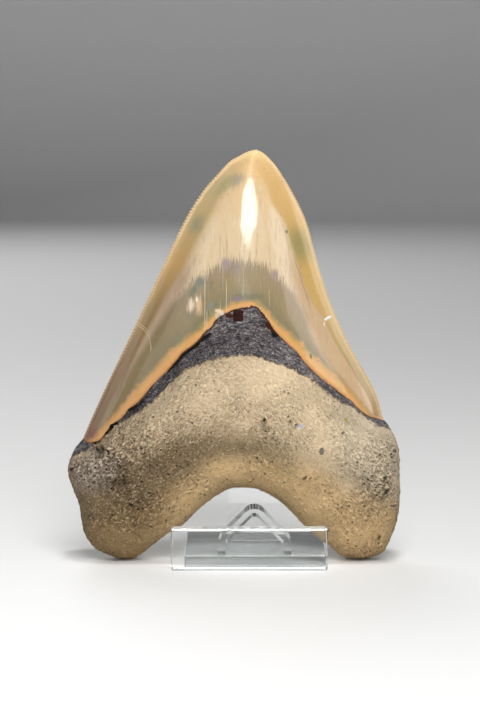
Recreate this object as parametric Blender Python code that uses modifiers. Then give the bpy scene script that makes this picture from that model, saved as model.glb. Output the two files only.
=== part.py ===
"""Fossil megalodon tooth leaning on a small clear acrylic stand.

All sizes are in millimetres and become metres in as_metres(). X runs across the tooth, Z up, and
-Y is the tongue side of the tooth, the side with the bulging root. The tooth is shaped upright
about the plane of its cutting edges (y = 0) and is then leaned back onto the stand's strip.
"""

import math

import bmesh
import bpy
import numpy as np
from mathutils import Matrix, Vector, noise

MM = 0.001

# --- how the tooth stands -------------------------------------------------------------------
LEAN_DEG = 9.5
FIT_GAP = 0.3

# --- outline of the tooth, seen from the tongue side (x, z) ---------------------------------
TIP = (7.3, 136.3)
LEFT_EDGE = [TIP, (4.6, 135.7), (1.8, 134.3), (-1.2, 132.6), (-4.8, 129.3), (-10.8, 122.4), (-16.8, 112.7),
             (-23.2, 99.3), (-29.4, 86.0), (-35.6, 72.7), (-42.0, 59.3), (-48.2, 45.6), (-50.4, 40.0)]
RIGHT_EDGE = [TIP, (9.6, 135.2), (12.2, 132.7), (15.3, 129.0), (19.4, 122.4), (24.0, 112.7), (27.7, 99.3),
              (31.9, 86.0), (37.6, 72.7), (45.0, 59.3), (48.0, 52.7), (49.6, 46.0)]
LEFT_SIDE = [(-49.4, 41.2), (-50.9, 38.9), (-53.4, 35.4), (-55.0, 31.4), (-55.1, 28.0), (-53.5, 23.3),
             (-51.7, 18.6), (-50.8, 13.6), (-49.6, 8.4), (-46.8, 4.2), (-43.0, 1.8), (-38.6, 0.2), (-36.6, -0.2)]
NOTCH = [(-36.6, -0.2), (-32.8, 0.6), (-29.4, 2.7), (-26.2, 5.4), (-22.2, 8.4), (-17.8, 11.0), (-12.6, 15.6),
         (-8.4, 19.2), (-5.0, 21.6), (-1.6, 23.2), (2.4, 23.6), (6.8, 23.3), (10.6, 21.8), (14.6, 19.3),
         (18.6, 15.9), (22.8, 11.2), (27.6, 7.4), (31.6, 4.3), (34.8, 1.4), (38.2, 0.2), (41.8, 0.0)]
RIGHT_SIDE = [(48.4, 47.4), (50.2, 45.2), (52.2, 42.0), (53.8, 38.4), (54.7, 33.4), (54.6, 28.0), (54.8, 22.0),
              (54.2, 15.6), (53.2, 10.4), (51.9, 7.0), (50.6, 4.4), (48.9, 2.2), (45.8, 0.7), (41.8, 0.0)]

# --- lower edge of the enamel on both faces (x, z) ------------------------------------------
TONGUE_ENAMEL = [(-50.4, 40.0), (-48.4, 39.8), (-44.0, 42.4), (-39.4, 46.4), (-34.0, 50.6), (-28.8, 54.8),
                 (-22.0, 61.4), (-15.2, 68.4), (-10.2, 73.6), (-6.0, 78.0), (-2.4, 80.4), (4.8, 82.2), (7.4, 82.2),
                 (9.8, 79.8), (13.2, 74.6), (18.1, 69.8), (24.0, 63.6), (29.8, 58.4), (35.7, 54.2), (41.6, 49.2),
                 (45.6, 46.8), (49.6, 46.0)]
LIP_ENAMEL = [(-50.4, 40.0), (-44.0, 44.5), (-32.0, 52.6), (-18.0, 59.6), (-4.0, 62.6), (8.0, 63.0), (20.0, 60.8),
              (34.0, 54.8), (44.0, 48.6), (49.6, 46.0)]
ENAMEL_STEP = 0.6
HIDDEN_RISE = 5.0
HIDDEN_SINK = 0.1
HIDDEN_SINK_MOST = 2.0
LEAST_COVER = 0.35

# --- thickness of the blade along its height: (z, tongue side, lip side) --------------------
BLADE_THICKNESS = [(30.0, 16.6, 6.4), (50.0, 16.0, 6.2), (70.0, 15.0, 5.8), (84.0, 13.7, 5.3), (97.0, 12.0, 4.8),
                   (110.0, 9.9, 4.1), (122.0, 7.3, 3.1), (130.0, 4.7, 2.1), (134.0, 2.7, 1.3), (136.3, 0.5, 0.3)]
TONGUE_ROUNDNESS = 2.0
LIP_ROUNDNESS = 2.4
FLANGE_WIDTH = 6.5
FLANGE_THINNING = 0.46
TIP_HOOK = -1.6
HOOK_START = 50.0

# --- root -----------------------------------------------------------------------------------
CREST_MIDDLE = 2.0
CREST_HEIGHT = 41.5
CREST_DROOP = 0.0062
ROOT_BULGE = 22.0
ROOT_BULGE_FALL = 0.0022
UPPER_SLOPE = 0.17
LOBE_SLOPE = 0.2
CREST_ROUNDING = 5.0
VALLEY_DEPTH = 2.4
VALLEY_WIDTH = 9.0
TONGUE_RIM = 11.5
TONGUE_BLEND = (7.0, 12.0)
LIP_DEPTH = 6.2
LIP_HOLLOW = 1.1
LIP_HOLLOW_HEIGHT = 42.0
LIP_HOLLOW_SIZE = (14.0, 12.0)
LIP_RIM = 6.5
LIP_BLEND = 8.0
RIM_POWER = 2.2
HALF_SPAN = 50.0
LUMP_SIZE = 7.0
LUMP_HEIGHT = 0.55

# --- holes in the root's tongue face: (x, z, mouth radius, depth) ---------------------------
FORAMEN = (9.8, 45.6, 1.15, 4.5)
PITS = [(19.0, 44.2, 0.8, 1.8), (22.4, 43.4, 0.7, 1.5), (-40.6, 39.0, 1.3, 1.6), (-37.4, 37.4, 0.9, 1.4),
        (47.0, 28.0, 1.1, 1.6), (44.6, 24.0, 0.9, 1.4)]

# --- mesh density ---------------------------------------------------------------------------
SERRATION_PITCH = 0.8
SERRATION_DEPTH = 0.32
SERRATION_START = 5.0
CROWN_ROWS = 32
CROWN_COLUMNS = 16
SIDE_COLUMNS = 17
CAP_COLUMNS = 40
ROOT_ROWS = 15

# --- acrylic stand --------------------------------------------------------------------------
BAR_LEFT, BAR_RIGHT = -20.6, 30.2
BAR_HEIGHT = 13.6
BAR_THICKNESS = 6.35
BAR_BACK = -14.8
BASE_LEFT, BASE_RIGHT = -16.4, 30.0
BASE_THICKNESS = 4.2
BASE_DEPTH = 46.0
EDGE_BEVEL = 0.35
SADDLE_MIDDLE = 6.5
SADDLE_HALF_WIDTH = 12.0
SADDLE_TOP = 19.2
SADDLE_DEPTH = 11.0
SADDLE_SHEET = 2.5
STRIP_MIDDLE = 7.2
STRIP_WIDTH = 19.0
STRIP_SHEET = 3.0
STRIP_BEND_HEIGHT = 16.8
STRIP_LENGTH = 58.0
BEND_RADIUS = 3.0
BEND_STEPS = 6


def clear_scene():
    """Removes every object of the startup scene."""
    for thing in list(bpy.data.objects):
        bpy.data.objects.remove(thing, do_unlink=True)


def new_collection(name, hidden=False):
    """A collection in the scene; a hidden one holds cutters."""
    made = bpy.data.collections.new(name)
    bpy.context.scene.collection.children.link(made)
    made.hide_render = hidden
    return made


def surface(name, colour, roughness, alpha=1.0, transmission=0.0):
    """A Principled material of one colour."""
    made = bpy.data.materials.new(name)
    made.use_nodes = True
    shader = made.node_tree.nodes["Principled BSDF"]
    shader.inputs["Base Color"].default_value = (*colour, 1.0)
    shader.inputs["Roughness"].default_value = roughness
    shader.inputs["Metallic"].default_value = 0.0
    shader.inputs["Alpha"].default_value = alpha
    shader.inputs["Transmission Weight"].default_value = transmission
    return made


def as_metres(points):
    """Millimetres to Blender's metres."""
    return [tuple(float(c) * MM for c in point) for point in points]


# --- curves in the plane of the outline -----------------------------------------------------
def smooth_line(points, per_span=24):
    """A Catmull-Rom curve through the points, as many closely spaced points."""
    p = np.array(points, float)
    p = np.vstack([2 * p[0] - p[1], p, 2 * p[-1] - p[-2]])
    t = np.linspace(0, 1, per_span, endpoint=False)[:, None]
    spans = []
    for a, b, c, d in zip(p[:-3], p[1:-2], p[2:-1], p[3:]):
        spans.append(0.5 * (2 * b + (c - a) * t + (2 * a - 5 * b + 4 * c - d) * t**2
                            + (3 * b - a - 3 * c + d) * t**3))
    return np.vstack([*spans, p[-2][None]])


def lengths_along(line):
    """Distance of each point from the start of the line."""
    steps = np.linalg.norm(np.diff(line, axis=0), axis=1)
    return np.concatenate([[0.0], np.cumsum(steps)])


def spaced(line, count):
    """count + 1 points at equal steps along the line."""
    run = lengths_along(line)
    at = np.linspace(0, run[-1], count + 1)
    return np.column_stack([np.interp(at, run, line[:, k]) for k in (0, 1)])


def distance_to(points, line):
    """Distance from each point to the nearest point of the line."""
    start, step = line[:-1], np.diff(line, axis=0)
    away = points[:, None, :] - start[None]
    share = (away * step).sum(2) / np.maximum((step * step).sum(1), 1e-9)
    nearest = start[None] + np.clip(share, 0, 1)[..., None] * step[None]
    return np.linalg.norm(points[:, None, :] - nearest, axis=2).min(1)


def smoothstep(value):
    """0 below 0, 1 above 1 and an easy curve between."""
    share = np.clip(value, 0, 1)
    return share * share * (3 - 2 * share)


LEFT_LINE = smooth_line(LEFT_EDGE)
RIGHT_LINE = smooth_line(RIGHT_EDGE)
FREE_OUTLINE = np.vstack([smooth_line(LEFT_SIDE, 6), smooth_line(NOTCH, 5), smooth_line(RIGHT_SIDE[::-1], 6)])


def edge_x(line, z):
    """x of a cutting edge at height z, carried on straight below its lower end."""
    found = np.interp(z, line[::-1, 1], line[::-1, 0])
    slope = (line[-1, 0] - line[-30, 0]) / (line[-1, 1] - line[-30, 1])
    return np.where(z < line[-1, 1], line[-1, 0] + (z - line[-1, 1]) * slope, found)


def enamel_height(points, x):
    """Height of an enamel edge at x."""
    line = smooth_line(points, 8)
    return np.interp(x, line[:, 0], line[:, 1])


def blade(x, z, side):
    """Height of the blade's surface over the plane of its edges: side 1 is the tongue side, 2 the lip side."""
    table = np.array(BLADE_THICKNESS)
    middle = np.interp(z, table[:, 0], table[:, side])
    left, right = edge_x(LEFT_LINE, z), edge_x(RIGHT_LINE, z)
    half = np.maximum((right - left) / 2, 0.05)
    across = np.clip(np.abs(x - (left + right) / 2) / half, 0, 1)
    roundness = TONGUE_ROUNDNESS if side == 1 else LIP_ROUNDNESS
    from_edge = (1 - across) * half
    flange = 1 - FLANGE_THINNING * np.exp(-((from_edge / FLANGE_WIDTH) ** 2))
    return middle * (1 - across**roundness) * flange


def hook(z):
    """How far the plane of the cutting edges bends towards the tongue side at height z."""
    return TIP_HOOK * np.clip((z - HOOK_START) / (TIP[1] - HOOK_START), 0, 1) ** 2


def rim_round(distance, reach):
    """0 at the rim and 1 from reach on, with an upright start, as on a worn edge."""
    share = np.clip(distance / reach, 0, 1)
    return (1 - (1 - share) ** RIM_POWER) ** (1 / RIM_POWER)


def under_enamel(x, z, below, side):
    """Height of the root's face where the enamel covers it, a step lower than the enamel."""
    cover = blade(x, z, side)
    sunk = cover - ENAMEL_STEP - np.clip(-HIDDEN_SINK * below, 0, HIDDEN_SINK_MOST)
    return np.maximum(sunk, LEAST_COVER * cover)


def root_tongue(x, z, rim):
    """Height of the root's bulging tongue face."""
    off = x - CREST_MIDDLE
    rise = z - (CREST_HEIGHT - CREST_DROOP * off * off)
    bend = np.sqrt(rise * rise + CREST_ROUNDING**2) - CREST_ROUNDING
    slope = np.where(rise > 0, UPPER_SLOPE, LOBE_SLOPE)
    body = ROOT_BULGE - ROOT_BULGE_FALL * off * off - slope * bend
    body = body - VALLEY_DEPTH * smoothstep(-rise / VALLEY_WIDTH)
    below = enamel_height(TONGUE_ENAMEL, x) - z
    narrow, wide = TONGUE_BLEND
    share = smoothstep(below / (narrow + wide * np.clip(1 - (x / HALF_SPAN) ** 2, 0, 1)))
    return under_enamel(x, z, below, 1) * (1 - share) + body * rim_round(rim, TONGUE_RIM) * share


def root_lip(x, z, rim):
    """Height of the root's flat lip face."""
    wide, high = LIP_HOLLOW_SIZE
    hollow = np.exp(-(((x - CREST_MIDDLE) / wide) ** 2) - ((z - LIP_HOLLOW_HEIGHT) / high) ** 2)
    below = enamel_height(LIP_ENAMEL, x) - z
    share = smoothstep(below / LIP_BLEND)
    body = (LIP_DEPTH - LIP_HOLLOW * hollow) * rim_round(rim, LIP_RIM)
    return under_enamel(x, z, below, 2) * (1 - share) + body * share


# --- the two halves of the tooth ------------------------------------------------------------
def serrated(line, outward):
    """The cutting edge as a zigzag of small teeth: a peak and a valley each pitch."""
    run = lengths_along(line)
    count = int(round(run[-1] / SERRATION_PITCH)) * 2
    points = spaced(line, count)
    along = np.gradient(points, axis=0)
    normal = np.column_stack([along[:, 1], -along[:, 0]]) * outward
    normal /= np.linalg.norm(normal, axis=1)[:, None]
    at = np.linspace(0, run[-1], count + 1)
    depth = SERRATION_DEPTH * smoothstep((at - SERRATION_START) / 6) * smoothstep((run[-1] - at) / 3)
    wave = np.where(np.arange(count + 1) % 2 == 0, -1.0, 0.0)
    return points + normal * (depth * wave)[:, None]


def crown_grid(enamel):
    """Points (x, z) of one face of the crown: rows from the tip down to the enamel's lower edge."""
    left, right = spaced(LEFT_LINE, CROWN_ROWS), spaced(RIGHT_LINE, CROWN_ROWS)
    share = np.linspace(0, 1, CROWN_COLUMNS + 1)
    foot_x = left[-1, 0] + (right[-1, 0] - left[-1, 0]) * share
    foot_lift = enamel_height(enamel, foot_x) - (left[-1, 1] + (right[-1, 1] - left[-1, 1]) * share)
    rows = []
    for row, (start, end) in enumerate(zip(left, right)):
        line = start + (end - start) * share[:, None]
        line[:, 1] += foot_lift * (row / CROWN_ROWS) ** 1.5
        rows.append(line)
    return np.array(rows)


def add_points(mesh, xz, depth):
    """Adds points at (x, depth, z), bent with the blade, to the bmesh and returns them."""
    y = depth + hook(xz[:, 1])
    return [mesh.verts.new(p) for p in as_metres(np.column_stack([xz[:, 0], y, xz[:, 1]]))]


def join_rim(mesh, outer, upper, lower):
    """Fans a run of rim points to the two face points beside it, alike on both faces of the blade."""
    middle = 0 if upper is outer[0] else len(outer) // 2
    for k, (here, there) in enumerate(zip(outer, outer[1:])):
        mesh.faces.new((here, there, upper if k < middle else lower))
    if middle:
        mesh.faces.new((outer[middle], upper, lower))


def build_crown():
    """The enamelled blade: two curved faces that meet at sharp, serrated edges."""
    mesh = bmesh.new()
    rims = [add_points(mesh, serrated(line, side), 0.0) for line, side in ((LEFT_LINE, 1), (RIGHT_LINE, -1))]
    tip = rims[0][0]
    mesh.verts.remove(rims[1][0])
    rims[1][0] = tip
    feet = []
    for side, enamel in ((1, TONGUE_ENAMEL), (2, LIP_ENAMEL)):
        grid = crown_grid(enamel)
        sign = -1 if side == 1 else 1
        rows = [[tip] * (CROWN_COLUMNS - 1)]
        for line in grid[1:, 1:-1]:
            rows.append(add_points(mesh, line, sign * blade(line[:, 0], line[:, 1], side)))
        for upper, lower in zip(rows, rows[1:]):
            for k in range(CROWN_COLUMNS - 2):
                mesh.faces.new(dict.fromkeys([upper[k], upper[k + 1], lower[k + 1], lower[k]]))
        for rim, column in ((rims[0], 0), (rims[1], -1)):
            stops = np.round(np.linspace(0, len(rim) - 1, CROWN_ROWS + 1)).astype(int)
            for row in range(CROWN_ROWS):
                join_rim(mesh, rim[stops[row]:stops[row + 1] + 1], rows[row][column], rows[row + 1][column])
        feet.append([rims[0][-1], *rows[-1], rims[1][-1]])
    for k in range(CROWN_COLUMNS):
        mesh.faces.new(dict.fromkeys([feet[0][k], feet[0][k + 1], feet[1][k + 1], feet[1][k]]))
    return finished(mesh, "crown")


def build_root():
    """The horseshoe root: rows of points run from the notch out to the sides and up under the enamel."""
    cap_x = np.linspace(LEFT_SIDE[0][0], RIGHT_SIDE[0][0], CAP_COLUMNS * 4 + 1)
    cap_z = enamel_height(TONGUE_ENAMEL, cap_x)
    rise = HIDDEN_RISE * np.sin(np.pi * np.linspace(0, 1, len(cap_x))) ** 0.6
    ends = np.interp(np.linspace(0, 1, len(cap_x)), [0, 0.04, 0.96, 1],
                     [LEFT_SIDE[0][1] - cap_z[0], 0, 0, RIGHT_SIDE[0][1] - cap_z[-1]])
    cap = spaced(np.column_stack([cap_x, cap_z + rise + ends]), CAP_COLUMNS)
    left = spaced(smooth_line(LEFT_SIDE[::-1]), SIDE_COLUMNS)
    right = spaced(smooth_line(RIGHT_SIDE), SIDE_COLUMNS)
    outer = np.vstack([left, cap[1:-1], right])
    inner = spaced(smooth_line(NOTCH), len(outer) - 1)
    share = (1 - np.cos(np.linspace(0, np.pi, ROOT_ROWS + 1))) / 2
    mesh = bmesh.new()
    ends = [add_points(mesh, line[[0]], 0.0)[0] for line in (inner, inner[::-1])]
    inner_rim = [ends[0], *add_points(mesh, inner[1:-1], 0.0), ends[1]]
    outer_rim = [ends[0], *add_points(mesh, outer[1:-1], 0.0), ends[1]]
    for height, sign in ((root_tongue, -1), (root_lip, 1)):
        columns = [[ends[0]] * (ROOT_ROWS + 1)]
        for k in range(1, len(outer) - 1):
            line = inner[k] + (outer[k] - inner[k]) * share[1:-1, None]
            rim = distance_to(line, FREE_OUTLINE)
            middle = add_points(mesh, line, sign * height(line[:, 0], line[:, 1], rim))
            columns.append([inner_rim[k], *middle, outer_rim[k]])
        columns.append([ends[1]] * (ROOT_ROWS + 1))
        for here, there in zip(columns, columns[1:]):
            for row in range(ROOT_ROWS):
                corners = dict.fromkeys([here[row], here[row + 1], there[row + 1], there[row]])
                if len(corners) > 2:
                    mesh.faces.new(corners)
    bmesh.ops.recalc_face_normals(mesh, faces=mesh.faces)
    mesh.normal_update()
    lumps = [(vert, vert.normal * root_lump(vert.co)) for vert in mesh.verts]
    for vert, shift in lumps:
        vert.co += shift
    return finished(mesh, "root")


def root_lump(place):
    """Swelling of the worn root at a place, fading out under the enamel."""
    point = Vector(place) / MM
    below = float(enamel_height(TONGUE_ENAMEL, point.x)) - point.z
    fade = float(smoothstep(below / 8))
    return LUMP_HEIGHT * noise.noise(point / LUMP_SIZE) * fade * MM


def finished(mesh, name):
    """Turns a bmesh into an object with its faces out."""
    bmesh.ops.recalc_face_normals(mesh, faces=mesh.faces)
    data = bpy.data.meshes.new(name)
    mesh.to_mesh(data)
    mesh.free()
    return bpy.data.objects.new(name, data)


def face_depth(x, z):
    """y of the root's tongue face at a point of the outline's plane."""
    at = np.array([[x, z]])
    return -float(root_tongue(at[:, 0], at[:, 1], distance_to(at, FREE_OUTLINE))[0])


def pit_cutter(name, pit, cutters):
    """A cone that enters the root's tongue face, its mouth widest."""
    x, z, radius, depth = pit
    outside = 1.0
    taper = (depth + outside) / depth
    bpy.ops.mesh.primitive_cone_add(vertices=10, radius1=radius * 0.35 * MM, radius2=radius * taper * MM,
                                    depth=(depth + outside) * MM)
    cutter = bpy.context.object
    cutter.name = name
    middle = face_depth(x, z) + depth / 2 - outside / 2
    cutter.matrix_world = Matrix.Translation(Vector((x, middle, z)) * MM) @ Matrix.Rotation(math.pi / 2, 4, "X")
    move_to(cutter, cutters)
    hide(cutter)
    return cutter


def move_to(thing, collection):
    """Links an object to one collection only."""
    for old in list(thing.users_collection):
        old.objects.unlink(thing)
    collection.objects.link(thing)


def hide(thing):
    """Marks an object as a helper that isn't part of the model."""
    thing.hide_render = True
    thing.display_type = "WIRE"


def boolean(target, other, operation):
    """Adds an exact Boolean of other to target."""
    step = target.modifiers.new(f"{operation.lower()}_{other.name}", "BOOLEAN")
    step.operation = operation
    step.solver = "EXACT"
    step.object = other


def settled(thing):
    """Makes the modifiers' result the object's own mesh."""
    graph = bpy.context.evaluated_depsgraph_get()
    thing.data = bpy.data.meshes.new_from_object(thing.evaluated_get(graph))
    thing.modifiers.clear()


def build_tooth(parts, cutters, finish):
    """Crown and root joined in one solid, pitted, leaned back and set on the floor."""
    tooth, root = build_crown(), build_root()
    tooth.name = "tooth"
    parts.objects.link(tooth)
    cutters.objects.link(root)
    hide(root)
    boolean(tooth, root, "UNION")
    for number, pit in enumerate([FORAMEN, *PITS]):
        boolean(tooth, pit_cutter(f"pit_{number}", pit, cutters), "DIFFERENCE")
    bpy.context.view_layer.update()
    settled(tooth)
    tooth.data.transform(Matrix.Rotation(-math.radians(LEAN_DEG), 4, "X"))
    lowest = min(vert.co.z for vert in tooth.data.vertices)
    tooth.location.z = -lowest
    tooth.data.materials.clear()
    tooth.data.materials.append(finish)
    tooth.data.shade_smooth()
    tooth.data.set_sharp_from_angle(angle=math.radians(35))
    return tooth


# --- acrylic stand --------------------------------------------------------------------------
def block(name, low, high, parts, finish):
    """A box between two corners, with finely bevelled edges."""
    low, high = Vector(low), Vector(high)
    bpy.ops.mesh.primitive_cube_add(size=1.0)
    made = bpy.context.object
    made.name = name
    made.data.transform(Matrix.Diagonal(((high - low) * MM).to_4d()))
    made.location = (low + high) / 2 * MM
    rounding = made.modifiers.new("polished_edges", "BEVEL")
    rounding.width = EDGE_BEVEL * MM
    rounding.segments = 1
    made.data.materials.append(finish)
    move_to(made, parts)
    return made


def extruded(name, outline, width, placing, parts, finish):
    """A flat outline given a thickness of width, then placed."""
    curve = bpy.data.curves.new(name, "CURVE")
    curve.dimensions = "2D"
    curve.fill_mode = "BOTH"
    curve.extrude = width / 2 * MM
    line = curve.splines.new("POLY")
    line.points.add(len(outline) - 1)
    for point, (u, v) in zip(line.points, outline):
        point.co = (u * MM, v * MM, 0.0, 1.0)
    line.use_cyclic_u = True
    guide = bpy.data.objects.new(name + "_outline", curve)
    parts.objects.link(guide)
    bpy.context.view_layer.update()
    graph = bpy.context.evaluated_depsgraph_get()
    data = bpy.data.meshes.new_from_object(guide.evaluated_get(graph))
    bpy.data.objects.remove(guide, do_unlink=True)
    sheet = bmesh.new()
    sheet.from_mesh(data)
    bmesh.ops.remove_doubles(sheet, verts=sheet.verts, dist=0.01 * MM)
    bmesh.ops.recalc_face_normals(sheet, faces=sheet.faces)
    sheet.to_mesh(data)
    sheet.free()
    data.name = name
    data.materials.append(finish)
    made = bpy.data.objects.new(name, data)
    made.matrix_world = placing
    parts.objects.link(made)
    return made


def bent_sheet(corners, thickness, radius):
    """Edge view of a sheet whose middle line runs through the corners, bent to a radius at each."""
    path = [np.array(corners[0], float)]
    for before, corner, after in zip(corners, corners[1:], corners[2:]):
        corner = np.array(corner, float)
        back, ahead = np.array(before) - corner, np.array(after) - corner
        back, ahead = back / np.linalg.norm(back), ahead / np.linalg.norm(ahead)
        half = math.acos(float(np.clip(back @ ahead, -1, 1))) / 2
        inward = (back + ahead) / np.linalg.norm(back + ahead)
        centre = corner + inward * radius / math.sin(half)
        first = corner + back * radius / math.tan(half) - centre
        last = corner + ahead * radius / math.tan(half) - centre
        sweep = math.pi - 2 * half
        for k in range(BEND_STEPS + 1):
            share = k / BEND_STEPS
            mixed = (first * math.sin((1 - share) * sweep) + last * math.sin(share * sweep)) / math.sin(sweep)
            path.append(centre + mixed)
    path.append(np.array(corners[-1], float))
    path = np.array(path)
    along = np.gradient(path, axis=0)
    along /= np.linalg.norm(along, axis=1)[:, None]
    normal = np.column_stack([-along[:, 1], along[:, 0]]) * thickness / 2
    return [tuple(point) for point in np.vstack([path + normal, (path - normal)[::-1]])]


def build_saddle(parts, finish):
    """A strip bent like a roof on two short legs, standing on the base under the root's notch."""
    half = SADDLE_HALF_WIDTH - SADDLE_SHEET / 2
    foot = BASE_THICKNESS + FIT_GAP
    ridge = SADDLE_TOP - SADDLE_SHEET / 2 + BEND_RADIUS * (math.sqrt(2) - 1)
    eaves = ridge - half
    corners = [(-half, foot), (-half, eaves), (0, ridge), (half, eaves), (half, foot)]
    front = BAR_BACK + FIT_GAP
    placing = (Matrix.Translation(Vector((SADDLE_MIDDLE, front + SADDLE_DEPTH / 2, 0)) * MM)
               @ Matrix.Rotation(math.pi / 2, 4, "X"))
    outline = bent_sheet(corners, SADDLE_SHEET, BEND_RADIUS)
    return extruded("saddle", outline, SADDLE_DEPTH, placing, parts, finish)


def strip_front(tooth):
    """y of the strip's front face at its bend, so that the leaning half lies behind the root's lip face."""
    slope = math.tan(math.radians(LEAN_DEG))
    half = STRIP_WIDTH / 2 + 1
    reach = STRIP_BEND_HEIGHT + STRIP_LENGTH
    behind = []
    for vert in tooth.data.vertices:
        place = (vert.co + tooth.location) / MM
        if abs(place.x - STRIP_MIDDLE) < half and place.z < reach:
            behind.append(place.y - (place.z - STRIP_BEND_HEIGHT) * slope)
    return max(behind) + FIT_GAP


def build_strip(parts, tooth, finish):
    """The back rest: a strip upright from the base, bent once and leaning with the tooth."""
    lean = math.radians(LEAN_DEG)
    middle = strip_front(tooth) + STRIP_SHEET / 2
    top = (middle + STRIP_LENGTH * math.sin(lean), STRIP_BEND_HEIGHT + STRIP_LENGTH * math.cos(lean))
    corners = [(middle, BASE_THICKNESS + FIT_GAP), (middle, STRIP_BEND_HEIGHT), top]
    placing = (Matrix.Translation(Vector((STRIP_MIDDLE, 0, 0)) * MM)
               @ Matrix(((0, 0, 1, 0), (1, 0, 0, 0), (0, 1, 0, 0), (0, 0, 0, 1))))
    outline = bent_sheet(corners, STRIP_SHEET, BEND_RADIUS)
    return extruded("back_strip", outline, STRIP_WIDTH, placing, parts, finish)


def build_stand(parts, tooth, clear):
    """Front bar, base plate, saddle and bent back strip, all cut from clear sheet and glued."""
    block("front_bar", (BAR_LEFT, BAR_BACK - BAR_THICKNESS, 0), (BAR_RIGHT, BAR_BACK, BAR_HEIGHT), parts, clear)
    base_front = BAR_BACK + FIT_GAP
    block("base_plate", (BASE_LEFT, base_front, 0), (BASE_RIGHT, base_front + BASE_DEPTH, BASE_THICKNESS),
          parts, clear)
    build_saddle(parts, clear)
    build_strip(parts, tooth, clear)


def centre_on_origin(parts):
    """Moves every piece so that the middle of the whole, seen from above, is over the origin."""
    bpy.context.view_layer.update()
    corners = [thing.matrix_world @ Vector(corner) for thing in parts.objects for corner in thing.bound_box]
    low = [min(corner[k] for corner in corners) for k in (0, 1)]
    high = [max(corner[k] for corner in corners) for k in (0, 1)]
    shift = Vector(((low[0] + high[0]) / 2, (low[1] + high[1]) / 2, 0))
    for thing in parts.objects:
        thing.location -= shift
    print("centre shift in mm:", [round(c / MM, 3) for c in shift])


def main():
    clear_scene()
    parts, cutters = new_collection("megalodon_tooth_on_stand"), new_collection("cutters", hidden=True)
    fossil = surface("fossil_tooth", (0.56, 0.44, 0.28), 0.5)
    acrylic = surface("clear_acrylic", (0.95, 0.96, 0.96), 0.05, alpha=0.35, transmission=1.0)
    tooth = build_tooth(parts, cutters, fossil)
    build_stand(parts, tooth, acrylic)
    centre_on_origin(parts)


main()
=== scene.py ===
"""Fossil megalodon tooth leaning on a small clear acrylic stand: fine meshes, finishes, light and camera.

Shapes are worked out in millimetres in the tooth's own upright frame: X across the tooth, Z up towards
the tip, and -Y the tongue side with the bulging root. ToothPose leans them back onto the stand.
"""

from __future__ import annotations

import logging
import math
from collections.abc import Callable
from dataclasses import dataclass, replace
from enum import Enum

import bpy
import numpy as np
from mathutils import Matrix, Vector, noise


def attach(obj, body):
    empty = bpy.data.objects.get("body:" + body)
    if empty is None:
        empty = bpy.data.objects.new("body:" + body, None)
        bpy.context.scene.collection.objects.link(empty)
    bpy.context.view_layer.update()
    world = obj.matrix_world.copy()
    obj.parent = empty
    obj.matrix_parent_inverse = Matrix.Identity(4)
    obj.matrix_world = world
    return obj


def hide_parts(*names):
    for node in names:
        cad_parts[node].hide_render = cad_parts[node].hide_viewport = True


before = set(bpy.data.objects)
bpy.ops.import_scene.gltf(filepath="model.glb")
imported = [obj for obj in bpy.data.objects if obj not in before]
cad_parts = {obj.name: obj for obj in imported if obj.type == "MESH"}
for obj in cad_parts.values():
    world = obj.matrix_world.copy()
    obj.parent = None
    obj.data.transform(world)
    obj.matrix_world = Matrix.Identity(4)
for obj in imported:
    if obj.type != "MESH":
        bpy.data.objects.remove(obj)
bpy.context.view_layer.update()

MM = 0.001
TINY = 1e-12
LOG = logging.getLogger("tooth")

Colour = tuple[float, float, float]
Triple = tuple[float, float, float]
Span = tuple[float, float]
Stops = tuple[tuple[float, Colour], ...]
Points = list[tuple[float, float]]


def srgb(red: float, green: float, blue: float) -> Colour:
    """Linear colour from 0-255 display values, by the standard display curve."""
    shares = (red / 255, green / 255, blue / 255)
    return tuple(c / 12.92 if c <= 0.04045 else ((c + 0.055) / 1.055) ** 2.4 for c in shares)


def shades(*rows: tuple[float, ...]) -> Stops:
    """Stops of a ramp from rows of a place and three display values."""
    return tuple((place, srgb(*display)) for place, *display in rows)


class Face(Enum):
    """The two broad faces of the tooth, with the sign of their y."""

    TONGUE = -1
    LIP = 1


# --- outline and surface heights ---------------------------------------------------------------
@dataclass(frozen=True)
class Line:
    """A smooth open curve in the tooth's x, z plane, through a few chosen points."""

    points: Points
    per_span: int = 24

    def dense(self) -> np.ndarray:
        """The curve as closely spaced points, by Catmull-Rom spans.

        Returns:
            An array of shape (n, 2).
        """
        p = np.array(self.points, float)
        p = np.vstack([2 * p[0] - p[1], p, 2 * p[-1] - p[-2]])
        t = np.linspace(0, 1, self.per_span, endpoint=False)[:, None]
        spans = [
            0.5 * (2 * b + (c - a) * t + (2 * a - 5 * b + 4 * c - d) * t**2 + (3 * b - a - 3 * c + d) * t**3)
            for a, b, c, d in zip(p[:-3], p[1:-2], p[2:-1], p[3:])
        ]
        return np.vstack([*spans, p[-2][None]])

    def spaced(self, count: int) -> np.ndarray:
        """count + 1 points at equal steps along the curve."""
        return evenly(self.dense(), count)

    def height(self, x: np.ndarray) -> np.ndarray:
        """z of the curve at x, for a curve that runs from left to right."""
        line = self.dense()
        return np.interp(x, line[:, 0], line[:, 1])

    def distance(self, places: np.ndarray) -> np.ndarray:
        """Distance from each place (n, 2) to the curve, in millimetres."""
        return distance_to(places, self.dense()[:: max(1, self.per_span // 4)])


def evenly(line: np.ndarray, count: int) -> np.ndarray:
    """Points at equal steps along a polyline.

    Args:
        line: Polyline of shape (n, 2).
        count: Number of steps.

    Returns:
        count + 1 points.
    """
    run = np.concatenate([[0.0], np.cumsum(np.linalg.norm(np.diff(line, axis=0), axis=1))])
    at = np.linspace(0, run[-1], count + 1)
    return np.column_stack([np.interp(at, run, line[:, k]) for k in (0, 1)])


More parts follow.
